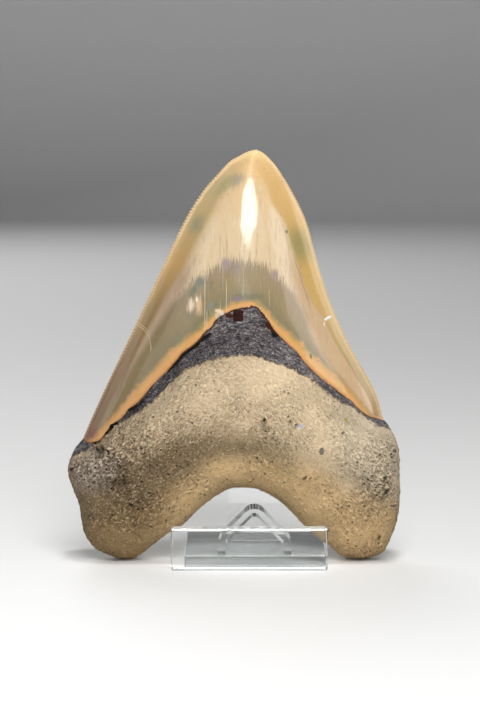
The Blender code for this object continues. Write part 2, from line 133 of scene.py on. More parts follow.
def distance_to(places: np.ndarray, line: np.ndarray) -> np.ndarray:
    """Distance from each place to the nearest point of a polyline.

    Args:
        places: Points of shape (n, 2).
        line: Polyline of shape (m, 2).

    Returns:
        n distances.
    """
    best = np.full(len(places), np.inf)
    for start, end in zip(line[:-1], line[1:]):
        step = end - start
        away = places - start
        share = np.clip(away @ step / max(float(step @ step), TINY), 0, 1)
        gap = away - share[:, None] * step
        np.minimum(best, (gap * gap).sum(1), out=best)
    return np.sqrt(best)


def smoothstep(value: np.ndarray) -> np.ndarray:
    """0 below 0, 1 above 1 and an easy curve between."""
    share = np.clip(value, 0, 1)
    return share * share * (3 - 2 * share)


@dataclass(frozen=True)
class Pit:
    """A hole or a worn dimple in the root's tongue face, in millimetres."""

    x: float
    z: float
    radius: float
    depth: float

    def away(self, places: np.ndarray) -> np.ndarray:
        """How many radii each place (n, 2) is from the middle."""
        return np.hypot(places[:, 0] - self.x, places[:, 1] - self.z) / self.radius


@dataclass(frozen=True)
class Patch:
    """A stretch of the root that is more or less broken than the rest, in millimetres."""

    x: float
    z: float
    wide: float
    high: float
    more: float


@dataclass(frozen=True)
class ToothShape:
    """Every driving dimension of the tooth, and the heights of its two faces over the cutting plane."""

    left_edge: Line = Line([
        (7.3, 136.3), (4.6, 135.7), (1.8, 134.3), (-1.2, 132.6), (-4.8, 129.3), (-10.8, 122.4),
        (-16.8, 112.7), (-23.2, 99.3), (-29.4, 86), (-35.6, 72.7), (-42, 59.3), (-48.2, 45.6), (-50.4, 40)])
    right_edge: Line = Line([
        (7.3, 136.3), (9.6, 135.2), (12.2, 132.7), (15.3, 129), (19.4, 122.4), (24, 112.7), (27.7, 99.3),
        (31.9, 86), (37.6, 72.7), (45, 59.3), (48, 52.7), (49.6, 46)])
    left_side: Line = Line([
        (-49.4, 41.2), (-50.9, 38.9), (-53.4, 35.4), (-55, 31.4), (-55.1, 28), (-53.5, 23.3), (-51.7, 18.6),
        (-50.8, 13.6), (-49.6, 8.4), (-46.8, 4.2), (-43, 1.8), (-38.6, 0.2), (-36.6, -0.2)])
    notch: Line = Line([
        (-36.6, -0.2), (-32.8, 0.6), (-29.4, 2.7), (-26.2, 5.4), (-22.2, 8.4), (-17.8, 11), (-12.6, 15.6),
        (-8.4, 19.2), (-5, 21.6), (-1.6, 23.2), (2.4, 23.6), (6.8, 23.3), (10.6, 21.8), (14.6, 19.3),
        (18.6, 15.9), (22.8, 11.2), (27.6, 7.4), (31.6, 4.3), (34.8, 1.4), (38.2, 0.2), (41.8, 0)])
    right_side: Line = Line([
        (48.4, 47.4), (50.2, 45.2), (52.2, 42), (53.8, 38.4), (54.7, 33.4), (54.6, 28), (54.8, 22),
        (54.2, 15.6), (53.2, 10.4), (51.9, 7), (50.6, 4.4), (48.9, 2.2), (45.8, 0.7), (41.8, 0)])
    tongue_enamel: Line = Line([
        (-50.4, 39.8), (-49.3, 38.7), (-47.6, 38.3), (-45.4, 38.8), (-43.5, 40.3), (-42.1, 42.4), (-40, 45),
        (-38, 46.3), (-35.4, 49.2), (-32.5, 51.6), (-30, 54.3), (-27.6, 57.3), (-24.8, 60.1), (-21.8, 62.9),
        (-17, 68.5), (-14.6, 70.2), (-11.7, 72.8), (-9.9, 75.2), (-7.6, 76.9), (-6, 79.5), (-4.8, 80.6),
        (-2.8, 81.3), (-0.2, 82.6), (2.1, 83.2), (4.8, 83.3), (6.4, 83.9), (7.6, 83.4), (8.8, 82),
        (10.3, 80.1), (12.1, 77.5), (13.5, 75.4), (16.7, 72.3), (18.5, 70.5), (20.8, 68.6), (22.5, 66.1),
        (24.8, 63.5), (28, 60.6), (30, 58.9), (33, 56.7), (36, 54.3), (38.8, 52.3), (41, 50), (43.3, 48.2),
        (45, 47.1), (47, 46.6), (49.6, 45.9)], 6)
    orange_top: Line = Line([
        (-51, 39.9), (-48.5, 40.6), (-47, 41.6), (-44, 43.9), (-40, 48.3), (-36, 52.9), (-32, 57.6),
        (-28, 61.6), (-25, 65.3), (-22, 68.7), (-19, 71.2), (-15, 74.2), (-12, 76.2), (-10, 78), (-8, 80.3),
        (-6, 82), (-4, 83.2), (-1, 84.5), (2, 85.2), (6, 85.6), (8.5, 84.6), (10.5, 82.6), (12.5, 80.3),
        (15, 77.8), (18, 75.5), (20, 73.5), (22.5, 71.7), (24.5, 69), (26.5, 67.5), (28.5, 66.2),
        (30.5, 64.3), (32, 63), (34, 61), (36, 59.4), (38, 56.8), (40, 54.3), (42, 52.2), (44, 50),
        (45, 48.2), (46.2, 47.6), (50, 46.5)], 4)
    grey_top: Line = Line([
        (-50, 39.9), (-46, 44), (-42, 49), (-38, 56), (-34, 64), (-30, 70.5), (-27, 75.5), (-24, 80),
        (-21, 84.5), (-18, 88), (-14.5, 92), (-10, 94.8), (-6, 97), (-2, 98.8), (2, 99.3), (6, 98.6),
        (10, 97), (13, 95.4), (16, 92.6), (18.5, 90.2), (20, 88.2), (22.5, 83.5), (24.3, 80), (25.5, 75.5),
        (28, 70.5), (31, 65.6), (34, 61.8), (37, 58), (40, 54), (43, 50.3), (46, 47.5), (50, 46)], 4)
    lip_enamel: Line = Line([
        (-50.4, 40), (-44, 44.5), (-32, 52.6), (-18, 59.6), (-4, 62.6), (8, 63), (20, 60.8), (34, 54.8),
        (44, 48.6), (49.6, 46)])
    bourlette_edge: Line = Line([
        (-55, 34), (-46.6, 36.8), (-44, 39), (-41.2, 42), (-37.6, 45), (-34, 47.2), (-30, 50.2), (-27, 52.6),
        (-24, 55.6), (-20.6, 59), (-15, 63.2), (-10, 65.2), (-5, 66.6), (0, 67.3), (5, 67.6), (10, 66.4),
        (15, 64.3), (20, 62.2), (24, 60.4), (28, 57.6), (32, 54.2), (36, 51.6), (40, 49.7), (44, 46.3),
        (48, 44), (51.5, 43.4), (56, 40)], 4)
    blade_tongue: Line = Line([
        (30, 16.6), (50, 16), (70, 15), (84, 13.7), (97, 12), (110, 9.9), (122, 7.3), (130, 4.7), (134, 2.7),
        (136.3, 0.5)])
    blade_lip: Line = Line([
        (30, 6.4), (50, 6.2), (70, 5.8), (84, 5.3), (97, 4.8), (110, 4.1), (122, 3.1), (130, 2.1), (134, 1.3),
        (136.3, 0.3)])
    tongue_roundness: float = 2.0
    lip_roundness: float = 2.4
    flange_width: float = 6.5
    flange_thinning: float = 0.46
    edge_tail: int = 30
    tip_hook: float = -1.6
    hook_start: float = 50.0
    hook_length: float = 86.0
    enamel_step: float = 0.6
    hidden_rise: float = 5.0
    hidden_sink: float = 0.1
    hidden_sink_most: float = 2.0
    least_cover: float = 0.35
    crest_middle: float = 2.0
    crest_height: float = 41.5
    crest_droop: float = 0.0062
    crest_rounding: float = 5.0
    root_bulge: float = 22.0
    root_bulge_fall: float = 0.0022
    upper_slope: float = 0.17
    lobe_slope: float = 0.2
    valley_depth: float = 2.4
    valley_width: float = 9.0
    tongue_rim: float = 11.5
    tongue_blend: Span = (7.0, 12.0)
    half_span: float = 50.0
    lip_depth: float = 6.2
    lip_hollow: float = 1.1
    lip_hollow_height: float = 42.0
    lip_hollow_size: Span = (14.0, 12.0)
    lip_rim: float = 6.5
    lip_blend: float = 8.0
    rim_power: float = 2.2
    lump_size: float = 7.0
    lump_height: float = 0.55

    def laid_out(self, pose: ToothPose) -> ToothShape:
        """Moves the lines of the tongue face from how they show in front to the cutting plane.

        Args:
            pose: How the tooth stands.

        Returns:
            The shape with its tongue enamel edge and bourlette edge in the cutting plane.
        """

        def on_blade(x: np.ndarray, z: np.ndarray) -> np.ndarray:
            """y of the blade's tongue face."""
            return self.hook(z) - self.blade(x, z, Face.TONGUE)

        edged = replace(self, tongue_enamel=pose.flat(self.tongue_enamel, on_blade))

        def on_root(x: np.ndarray, z: np.ndarray) -> np.ndarray:
            """y of the root's tongue face, away from its rim."""
            far = np.full(len(x), 2 * edged.tongue_rim)
            return edged.hook(z) - edged.root(x, z, far, Face.TONGUE)

        return replace(edged, bourlette_edge=pose.flat(self.bourlette_edge, on_root))

    def enamel(self, face: Face) -> Line:
        """The enamel's lower edge on a face."""
        return self.tongue_enamel if face is Face.TONGUE else self.lip_enamel

    def free_outline(self) -> np.ndarray:
        """The root's rim, from the left shoulder round the notch to the right shoulder."""
        left, notch, right = (line.dense() for line in (self.left_side, self.notch, self.right_side))
        return np.vstack([left[::3], notch[::4], right[::-3]])

    def edge_x(self, line: Line, z: np.ndarray) -> np.ndarray:
        """Where a cutting edge is at each height, carried on straight below its lower end.

        Args:
            line: The cutting edge, from the tip down.
            z: Heights.

        Returns:
            x at each height.
        """
        dense = line.dense()
        found = np.interp(z, dense[::-1, 1], dense[::-1, 0])
        (low_x, low_z), (high_x, high_z) = dense[-1], dense[-self.edge_tail]
        slope = (low_x - high_x) / (low_z - high_z)
        return np.where(z < low_z, low_x + (z - low_z) * slope, found)

    def blade(self, x: np.ndarray, z: np.ndarray, face: Face) -> np.ndarray:
        """Height of the blade's surface over the plane of its edges.

        Args:
            x: Places across the tooth.
            z: Places up the tooth.
            face: Which face.

        Returns:
            Heights in millimetres, 0 at the cutting edges.
        """
        tongue = face is Face.TONGUE
        middle = (self.blade_tongue if tongue else self.blade_lip).height(z)
        left, right = self.edge_x(self.left_edge, z), self.edge_x(self.right_edge, z)
        half = np.maximum((right - left) / 2, 0.05)
        across = np.clip(np.abs(x - (left + right) / 2) / half, 0, 1)
        from_edge = (1 - across) * half
        flange = 1 - self.flange_thinning * np.exp(-((from_edge / self.flange_width) ** 2))
        return middle * (1 - across ** (self.tongue_roundness if tongue else self.lip_roundness)) * flange

    def hook(self, z: np.ndarray) -> np.ndarray:
        """How far the cutting plane bends towards the tongue side at height z."""
        return self.tip_hook * np.clip((z - self.hook_start) / self.hook_length, 0, 1) ** 2

    def root(self, x: np.ndarray, z: np.ndarray, rim: np.ndarray, face: Face) -> np.ndarray:
        """Height of the root's surface over the plane of the outline.

        Args:
            x: Places across the tooth.
            z: Places up the tooth.
            rim: Distance of each place from the root's free outline.
            face: Which face.

        Returns:
            Heights in millimetres, 0 on the outline.
        """
        off = x - self.crest_middle
        if face is Face.TONGUE:
            rise = z - (self.crest_height - self.crest_droop * off * off)
            bend = np.sqrt(rise * rise + self.crest_rounding**2) - self.crest_rounding
            slope = np.where(rise > 0, self.upper_slope, self.lobe_slope)
            body = self.root_bulge - self.root_bulge_fall * off * off - slope * bend
            body = body - self.valley_depth * smoothstep((-rise - 1) / self.valley_width)
            least, more = self.tongue_blend
            reach = least + more * np.clip(1 - (x / self.half_span) ** 2, 0, 1)
            rounding = self.tongue_rim
        else:
            wide, high = self.lip_hollow_size
            hollow = np.exp(-((off / wide) ** 2) - ((z - self.lip_hollow_height) / high) ** 2)
            body = self.lip_depth - self.lip_hollow * hollow
            reach, rounding = self.lip_blend, self.lip_rim
        below = self.enamel(face).height(x) - z
        cover = self.blade(x, z, face)
        sink = np.clip(-self.hidden_sink * below, 0, self.hidden_sink_most)
        under = np.maximum(cover - self.enamel_step - sink, self.least_cover * cover)
        share = smoothstep(below / reach)
        worn = 1 - (1 - np.clip(rim / rounding, 0, 1)) ** self.rim_power
        return under * (1 - share) + body * worn ** (1 / self.rim_power) * share


@dataclass(frozen=True)
class ToothPose:
    """How the upright tooth is set on the stand: leaned back, lifted onto the floor, then centred."""

    lean_deg: float = 9.5
    lift: float = 0.331
    shift: tuple[float, float] = (0.189, -5.175)
    front_distance: float = 881.9
    front_above_deg: float = 6.02
    front_aim: tuple[float, float, float] = (2.0, 0.0, 65.26)
    front_scale: float = 887.3
    front_origin: tuple[float, float] = (1.83, 65.33)
    flattening_rounds: int = 8

    def matrix(self) -> Matrix:
        """The move from the tooth's own millimetres to the frame's metres."""
        lean = Matrix.Rotation(-math.radians(self.lean_deg), 4, "X")
        return Matrix.Scale(MM, 4) @ Matrix.Translation((*self.shift, self.lift)) @ lean

    def front(self, points: np.ndarray) -> np.ndarray:
        """How points of the standing tooth line up from a fixed place in front of it.

        Args:
            points: Points (n, 3) in the tooth's millimetres.

        Returns:
            Places (n, 2), across and up, in millimetres.
        """
        lean, above = math.radians(self.lean_deg), math.radians(self.front_above_deg)
        x = points[:, 0] + self.shift[0] - self.front_aim[0]
        y = points[:, 1] * math.cos(lean) + points[:, 2] * math.sin(lean) + self.shift[1] - self.front_aim[1]
        z = points[:, 2] * math.cos(lean) - points[:, 1] * math.sin(lean) + self.lift - self.front_aim[2]
        away = self.front_distance + y * math.cos(above) - z * math.sin(above)
        up = y * math.sin(above) + z * math.cos(above)
        scale = self.front_scale / away
        return np.column_stack([self.front_origin[0] + x * scale, self.front_origin[1] + up * scale])

    def flat(self, line: Line, surface: Callable[[np.ndarray, np.ndarray], np.ndarray]) -> Line:
        """Moves a line that is laid out from the front onto the plane of the cutting edges.

        Args:
            line: The line as it shows in front.
            surface: Gives y of the surface that carries it, from x and z in the plane.

        Returns:
            The line in the plane.
        """
        goal = np.array(line.points)
        place = goal.copy()
        for _ in range(self.flattening_rounds):
            x, z = place.T
            place = place + goal - self.front(np.column_stack([x, surface(x, z), z]))
        return Line([tuple(point) for point in place.tolist()], line.per_span)


# --- meshes --------------------------------------------------------------------------------------
def added(name: str, data: bpy.types.ID) -> bpy.types.Object:
    """Adds an object to the scene.

    Args:
        name: Its name.
        data: Its mesh, light or camera.

    Returns:
        The object.
    """
    made = bpy.data.objects.new(name, data)
    bpy.context.scene.collection.objects.link(made)
    return made


class SheetMesh:
    """Collects grids of points, their faces and per-point values, and makes one Blender object."""

    def __init__(self, name: str) -> None:
        """Starts an empty mesh.

        Args:
            name: The object's name.
        """
        self.name = name
        self.sharp_deg = 55.0
        self.points: list[np.ndarray] = []
        self.faces: list[tuple[int, ...]] = []
        self.count = 0

    def add(self, points: np.ndarray) -> np.ndarray:
        """Adds points.

        Args:
            points: An array of shape (..., 3).

        Returns:
            Their indices in the same arrangement.
        """
        flat = points.reshape(-1, 3)
        self.points.append(flat)
        first = self.count
        self.count += len(flat)
        return np.arange(first, self.count).reshape(points.shape[:-1])

    def quads(self, grid: np.ndarray, flipped: bool) -> None:
        """Joins a grid of point indices with quads; points that coincide give triangles.

        Args:
            grid: Indices of shape (rows, columns).
            flipped: Turns the faces over.
        """
        corners = np.stack([grid[:-1, :-1], grid[1:, :-1], grid[1:, 1:], grid[:-1, 1:]], axis=-1)
        corners = corners.reshape(-1, 4)[:, :: -1 if flipped else 1]
        self.faces.extend(tuple(dict.fromkeys(face)) for face in corners.tolist())

    def place(self) -> np.ndarray:
        """All points so far as one array (n, 3)."""
        return np.vstack(self.points)

    def build(self, points: np.ndarray, pose: Matrix, values: dict[str, np.ndarray]) -> bpy.types.Object:
        """Makes the object.

        Args:
            points: Final points (n, 3), in the tooth's millimetres.
            pose: The move into the frame.
            values: Per-point values: arrays (n,) or (n, 3), by attribute name.

        Returns:
            The object, smooth shaded.
        """
        data = bpy.data.meshes.new(self.name)
        data.from_pydata(points.tolist(), [], [face for face in self.faces if len(face) > 2])
        for name, value in values.items():
            kind = "FLOAT" if value.ndim == 1 else "FLOAT_VECTOR"
            layer = data.attributes.new(name, kind, "POINT")
            layer.data.foreach_set("value" if value.ndim == 1 else "vector", value.astype(np.float32).ravel())
        data.transform(pose)
        data.shade_smooth()
        data.set_sharp_from_angle(angle=math.radians(self.sharp_deg))
        return added(self.name, data)


def normals_of(points: np.ndarray, faces: list[tuple[int, ...]]) -> np.ndarray:
    """Smooth point normals of a mesh, weighted by face area.

    Args:
        points: Points (n, 3).
        faces: Triangles and quads.

    Returns:
        Unit normals (n, 3).
    """
    corners = np.array([face if len(face) == 4 else (*face, face[-1]) for face in faces if len(face) > 2])
    a, b, c, d = (points[corners[:, k]] for k in range(4))
    across = np.cross(c - a, d - b)
    total = np.zeros_like(points)
    for k in range(4):
        np.add.at(total, corners[:, k], across)
    return total / np.maximum(np.linalg.norm(total, axis=1), TINY)[:, None]


def ripples(
    points: np.ndarray, scale: tuple[float, ...], octaves: int = 1, apart: float = 17.3
) -> np.ndarray:
    """Smooth noise from about -1 to 1 at each point.

    Args:
        points: Points (n, 2) or (n, 3) in millimetres.
        scale: Size of a ripple along each axis, in millimetres.
        octaves: Finer ripples added at half size and half height each.
        apart: How far the octaves lie from each other in the noise, so that they don't line up.

    Returns:
        n values.
    """
    total = np.zeros(len(points))
    for octave in range(octaves):
        finer = points / np.array(scale) * 2**octave + apart * octave
        if finer.shape[1] == 2:
            finer = np.column_stack([finer, np.zeros(len(finer))])
        total += np.array([noise.noise(Vector(p)) for p in finer.tolist()]) / 2**octave
    return total


@dataclass
class Crown:
    """The enamelled blade: two fine curved faces that meet at serrated cutting edges."""

    shape: ToothShape
    pose: ToothPose
    rows: int = 297
    columns: int = 156
    edge_crowding: float = 0.62
    foot_easing: float = 1.5
    serration: tuple[float, ...] = (0.0, 1.0, 0.45)
    serration_depth: float = 0.6
    serration_reach: float = 1.5
    serration_start: int = 20
    serration_fade: Span = (20, 10)
    serrated_width: float = 4.0
    valley_thinning: float = 0.35
    waviness: float = 0.045
    wave_size: Span = (11.0, 22.0)
    lip_rounding: float = 1.1
    lip_height: float = 0.5
    skirt: tuple[Span, ...] = ((0.0, 0.55), (0.4, 1.3), (1.5, 2.6))
    skirt_share: float = 0.8
    skirt_full: float = 3.0
    lip_orange: float = 3.0
    lip_grey: float = 13.0

    def grid(self, face: Face) -> np.ndarray:
        """Lays out one face in rows from the tip down to the enamel's lower edge.

        Args:
            face: Which face.

        Returns:
            Places (x, z), of shape (rows + 1, columns + 1, 2).
        """
        shape = self.shape
        left, right = shape.left_edge.spaced(self.rows), shape.right_edge.spaced(self.rows)
        u = np.linspace(0, 1, self.columns + 1)
        share = u - self.edge_crowding * np.sin(2 * np.pi * u) / (2 * np.pi)
        foot_x = left[-1, 0] + (right[-1, 0] - left[-1, 0]) * share
        lift = shape.enamel(face).height(foot_x) - (left[-1, 1] + (right[-1, 1] - left[-1, 1]) * share)
        down = np.linspace(0, 1, self.rows + 1)
        grid = left[:, None] + (right - left)[:, None] * share[:, None]
        grid[..., 1] += lift * down[:, None] ** self.foot_easing
        return grid

    def serrate(self, grid: np.ndarray) -> tuple[np.ndarray, np.ndarray]:
        """Pulls the rows in at the cutting edges, in the rhythm of the serrations.

        Args:
            grid: Places (rows, columns, 2).

        Returns:
            The moved places, and how deep in a valley each place is, 0 to 1.
        """
        row = np.arange(len(grid))
        start, end = self.serration_fade
        strength = smoothstep((row - self.serration_start) / start) * smoothstep((len(grid) - 1 - row) / end)
        valley = strength * np.array(self.serration)[row % len(self.serration)]
        wide_enough = np.linalg.norm(grid[:, -1] - grid[:, 0], axis=1) > self.serrated_width
        inward = np.zeros_like(grid)
        fade = np.zeros(grid.shape[:2])
        for rim, sign in ((0, 1), (-1, -1)):
            along = np.gradient(grid[:, rim], axis=0)
            normal = np.column_stack([-along[:, 1], along[:, 0]]) * sign
            normal /= np.maximum(np.linalg.norm(normal, axis=1), TINY)[:, None]
            gap = np.linalg.norm(grid - grid[:, rim][:, None], axis=2)
            near = np.exp(-((gap / (self.serration_reach / 2)) ** 2)) * wide_enough[:, None]
            inward += normal[:, None] * (near * valley[:, None] * self.serration_depth)[..., None]
            fade = np.maximum(fade, near * valley[:, None])
        return grid + inward, fade

    def build(self) -> bpy.types.Object:
        """Makes the crown's mesh, with the values that its finish reads.

        Returns:
            The object.
        """
        shape, mesh = self.shape, SheetMesh("tooth_enamel")
        feet, fields = [], []
        rims: list[np.ndarray] = []
        for face in Face:
            places, valley = self.serrate(self.grid(face))
            x, z = places[..., 0], places[..., 1]
            flat = places.reshape(-1, 2)
            foot = shape.enamel(face).distance(flat).reshape(x.shape)
            depth = shape.blade(x, z, face)
            rounded = np.clip(1 - foot / self.lip_rounding, 0, 1) ** 2
            depth = depth - np.minimum(self.lip_height * rounded, 0.5 * depth)
            depth *= 1 - self.valley_thinning * valley
            depth *= 1 + self.waviness * ripples(flat, self.wave_size, 2).reshape(x.shape) / 2
            y = face.value * depth + shape.hook(z)
            skirts = [np.stack([x, y, z], axis=-1)]
            for rise, inset in self.skirt:
                last = skirts[0][-1:].copy()
                last[..., 1] -= face.value * np.minimum(inset, self.skirt_share * depth[-1:])
                last[..., 2] += rise * np.clip(depth[-1:] / self.skirt_full, 0, 1)
                skirts.append(last)
            points = np.concatenate(skirts)
            grid = mesh.add(points)
            if rims:
                grid[:, 0], grid[:, -1] = rims
            rims = [grid[:, 0].copy(), grid[:, -1].copy()]
            grid[0] = feet[0][1] if feet else grid[0, 0]
            grid[len(x):, 0], grid[len(x):, -1] = grid[len(x) - 1, 0], grid[len(x) - 1, -1]
            mesh.quads(grid, flipped=face is Face.LIP)
            feet.append((grid[-1], grid[0, 0]))
            fields.append(self.fields(points, foot, valley, face))
        mesh.quads(np.stack([feet[0][0], feet[1][0]]), flipped=False)
        values = {name: np.concatenate([part[name] for part in fields]) for name in fields[0]}
        return mesh.build(mesh.place(), self.pose.matrix(), values)

    def fields(
        self, points: np.ndarray, foot: np.ndarray, valley: np.ndarray, face: Face
    ) -> dict[str, np.ndarray]:
        """Values at each point of one face.

        Args:
            points: Points (rows, columns, 3), skirts included.
            foot: Distance from the enamel's lower edge, without the skirts.
            valley: How deep between two serrations, without the skirts.
            face: Which face.

        Returns:
            Arrays by attribute name.
        """
        shape, flat = self.shape, points.reshape(-1, 3)
        front = self.pose.front(flat)
        skirts = np.zeros((len(points) - len(foot), foot.shape[1]))
        foot, valley = (np.concatenate([part, skirts]).ravel() for part in (foot, valley))
        orange, grey = foot - self.lip_orange, foot - self.lip_grey
        if face is Face.TONGUE:
            orange, grey = (
                line.distance(front) * np.sign(front[:, 1] - line.height(front[:, 0]))
                for line in (shape.orange_top, shape.grey_top))
        return {
            "place": flat,
            "front": np.column_stack([front[:, 0], flat[:, 1], front[:, 1]]),
            "foot": foot,
            "orange": orange,
            "grey": grey,
            "rim_left": shape.left_edge.distance(flat[:, [0, 2]]),
            "rim_right": shape.right_edge.distance(flat[:, [0, 2]]),
            "valley": valley,
            "tongue": np.full(len(flat), float(face is Face.TONGUE)),
        }


@dataclass
class Root:
    """The horseshoe root and the dark band under the enamel, with their worn, pitted surface."""

    shape: ToothShape
    pose: ToothPose
    columns: int = 430
    tongue_rows: int = 156
    lip_rows: int = 64
    side_share: float = 0.2
    cap_points: int = 400
    cap_fullness: float = 0.6
    cap_end: float = 0.04
    undulation: float = 0.36
    undulation_size: Triple = (4.6, 4.6, 3.4)
    undulation_middle: float = 0.25
    grain: float = 0.42
    grain_size: Triple = (1.9, 1.3, 1.0)
    crumb: float = 1.35
    crumb_from: float = 0.22
    fine_grain: float = 0.26
    fine_size: Triple = (0.8, 0.8, 0.7)
    lump_reach: float = 8.0
    bare_reach: float = 0.8
    bare_sink: float = 0.05
    strata: float = 0.55
    strata_size: Triple = (5.0, 5.0, 3.0)
    strata_stretch: float = 3.0
    strata_middle: float = 0.4
    raggedness: float = 0.9
    ragged_sizes: Span = (1.4, 1.2)
    rough_middle: float = 0.82
    rough_more: float = 0.35
    rough_size: Triple = (13.0, 13.0, 11.0)
    rough_range: Span = (0.4, 1.6)
    shoulder: Triple = (-46.5, 29.5, 9.5)
    shoulder_flatness: float = 0.8
    shoulder_more: float = 0.6
    patches: tuple[Patch, ...] = (
        Patch(-34, 38, 15, 9, 0.45), Patch(49.5, 24, 9, 17, 0.5), Patch(-35, 19, 10, 7, 0.25),
        Patch(-39, 31, 5, 7, 0.45), Patch(5, 60, 15, 6, -0.45), Patch(-6, 31, 20, 7, -0.25),
        Patch(28, 15, 9, 10, -0.2))
    lobe_turn_deg: float = 37.0
    pores: int = 4200
    pore_radius: Span = (0.22, 0.6)
    pore_smallness: float = 2.6
    pore_stretch: float = 1.4
    pore_crowding: float = 1.5
    pore_window: float = 1.5
    pore_edge: float = 1.35
    pore_full: float = 0.45
    pore_depth: float = 0.5
    seed: int = 11
    pit_reach: float = 1.6
    pit_steepness: int = 4
    dimple_steepness: int = 2
    rim_calm: float = 0.45
    rim_width: float = 3.0
    rim_slope: float = 0.15
    crack_depth: float = 1.0
    off_crack: float = 9.0
    off_band: float = -6.0
    pits: tuple[Pit, ...] = (
        Pit(9.9, 45.5, 0.68, 4.68), Pit(18, 45, 0.72, 1.3), Pit(20.3, 44.3, 0.56, 1.17),
        Pit(19.7, 62.9, 0.56, 1.17), Pit(23.4, 26.6, 0.96, 0.65), Pit(25.4, 26.8, 0.48, 0.78),
        Pit(35.6, 41.4, 0.48, 1.17), Pit(33, 45.4, 0.45, 0.78), Pit(52.4, 35.4, 0.8, 1.04),
        Pit(49.6, 22.8, 0.96, 1.04), Pit(49.2, 27, 0.8, 0.91), Pit(47.8, 29, 0.64, 0.65),
        Pit(48.8, 20.8, 0.72, 0.91), Pit(53, 17.6, 0.64, 0.78), Pit(47.6, 6.7, 0.64, 0.65),
        Pit(-44.2, 34.6, 0.96, 1.43), Pit(-42.4, 34.8, 0.8, 1.3), Pit(-41.6, 36, 0.48, 1.04),
        Pit(-46.2, 36.4, 0.56, 1.3), Pit(-36, 40.2, 0.64, 1.17), Pit(-38, 31, 0.72, 1.04),
        Pit(-36.2, 29.8, 0.64, 1.17), Pit(-37.2, 28.2, 0.96, 1.3), Pit(-36.6, 25.2, 0.8, 1.3),
        Pit(-39.6, 26.8, 0.72, 0.91), Pit(-34.2, 18, 0.88, 1.04), Pit(-31.8, 18.8, 0.72, 0.91),
        Pit(-29.4, 19.6, 0.64, 0.65), Pit(5.8, 26.2, 0.45, 0.78), Pit(-53.6, 29.4, 0.8, 1.04),
        Pit(-52, 30.2, 0.64, 0.78), Pit(-33, 57.3, 0.48, 0.65))
    dimples: tuple[Pit, ...] = (
        Pit(9.6, 44.8, 2.6, 0.6), Pit(19.2, 44.2, 3.2, 0.7), Pit(-33, 18.6, 4.5, 0.6),
        Pit(-38.5, 28, 4.5, 0.7), Pit(24.2, 26.4, 2.6, 0.4), Pit(50, 23.5, 3.6, 0.5),
        Pit(-44, 34.8, 2.8, 0.6), Pit(-26, 36, 5, 0.5))
    cracks: tuple[tuple[Points, float], ...] = (
        ([(-46.4, 36.9), (-45.6, 38.0), (-43.4, 39.8), (-41.4, 41.9), (-39.6, 43.9), (-38.4, 44.5)], 0.42),
        ([(-21.6, 62.4), (-19.4, 64.4), (-17.0, 67.2), (-14.6, 69.2), (-12.4, 70.6), (-10.6, 72.4),
          (-8.2, 74.4)], 0.75),
        ([(-34.6, 48.6), (-31.6, 50.4), (-29.6, 51.6)], 0.4))

    def outer(self) -> np.ndarray:
        """The root's outer line: up the left side, along under the enamel, down the right side.

        Returns:
            Its points (n, 2).
        """
        shape = self.shape
        left, right = shape.left_side.dense()[::-1], shape.right_side.dense()
        x = np.linspace(left[-1, 0], right[0, 0], self.cap_points)
        share = np.linspace(0, 1, len(x))
        z = shape.tongue_enamel.height(x)
        rise = shape.hidden_rise * np.sin(np.pi * share) ** self.cap_fullness
        drops = [left[-1, 1] - z[0], 0, 0, right[0, 1] - z[-1]]
        ends = np.interp(share, [0, self.cap_end, 1 - self.cap_end, 1], drops)
        cap = np.column_stack([x, z + rise + ends])
        side = int(self.columns * self.side_share)
        top = evenly(cap, self.columns - 2 * side)[1:-1]
        return np.vstack([evenly(left, side), top, evenly(right, side)])

    def build(self) -> bpy.types.Object:
        """Makes the root's mesh, with the values that its finish reads.

        Returns:
            The object.
        """
        shape, mesh = self.shape, SheetMesh("tooth_root")
        outer = self.outer()
        inner = evenly(shape.notch.dense(), len(outer) - 1)
        shared: list[np.ndarray] = []
        fields = []
        for face, rows in ((Face.TONGUE, self.tongue_rows), (Face.LIP, self.lip_rows)):
            share = (1 - np.cos(np.linspace(0, np.pi, rows + 1))) / 2
            places = inner[:, None] + (outer - inner)[:, None] * share[:, None]
            x, z = places[..., 0], places[..., 1]
            rim = distance_to(places.reshape(-1, 2), shape.free_outline()).reshape(x.shape)
            height = shape.root(x, z, rim, face)
            height[:, [0, -1]] = 0
            grid = mesh.add(np.stack([x, face.value * height + shape.hook(z), z], axis=-1))
            fields.append(np.column_stack([rim.ravel(), np.full(grid.size, float(face is Face.TONGUE))]))
            if shared:
                grid[:, 0], grid[:, -1] = shared
            grid[0], grid[-1] = grid[0, 0], grid[-1, 0]
            shared = [grid[:, 0].copy(), grid[:, -1].copy()]
            mesh.quads(grid, flipped=face is Face.TONGUE)
        points = mesh.place()
        rim, tongue = np.vstack(fields).T
        values = self.fields(points, rim, tongue)
        moved = points + normals_of(points, mesh.faces) * self.relief(points, values)[:, None]
        return mesh.build(self.above_floor(moved), self.pose.matrix(), values)

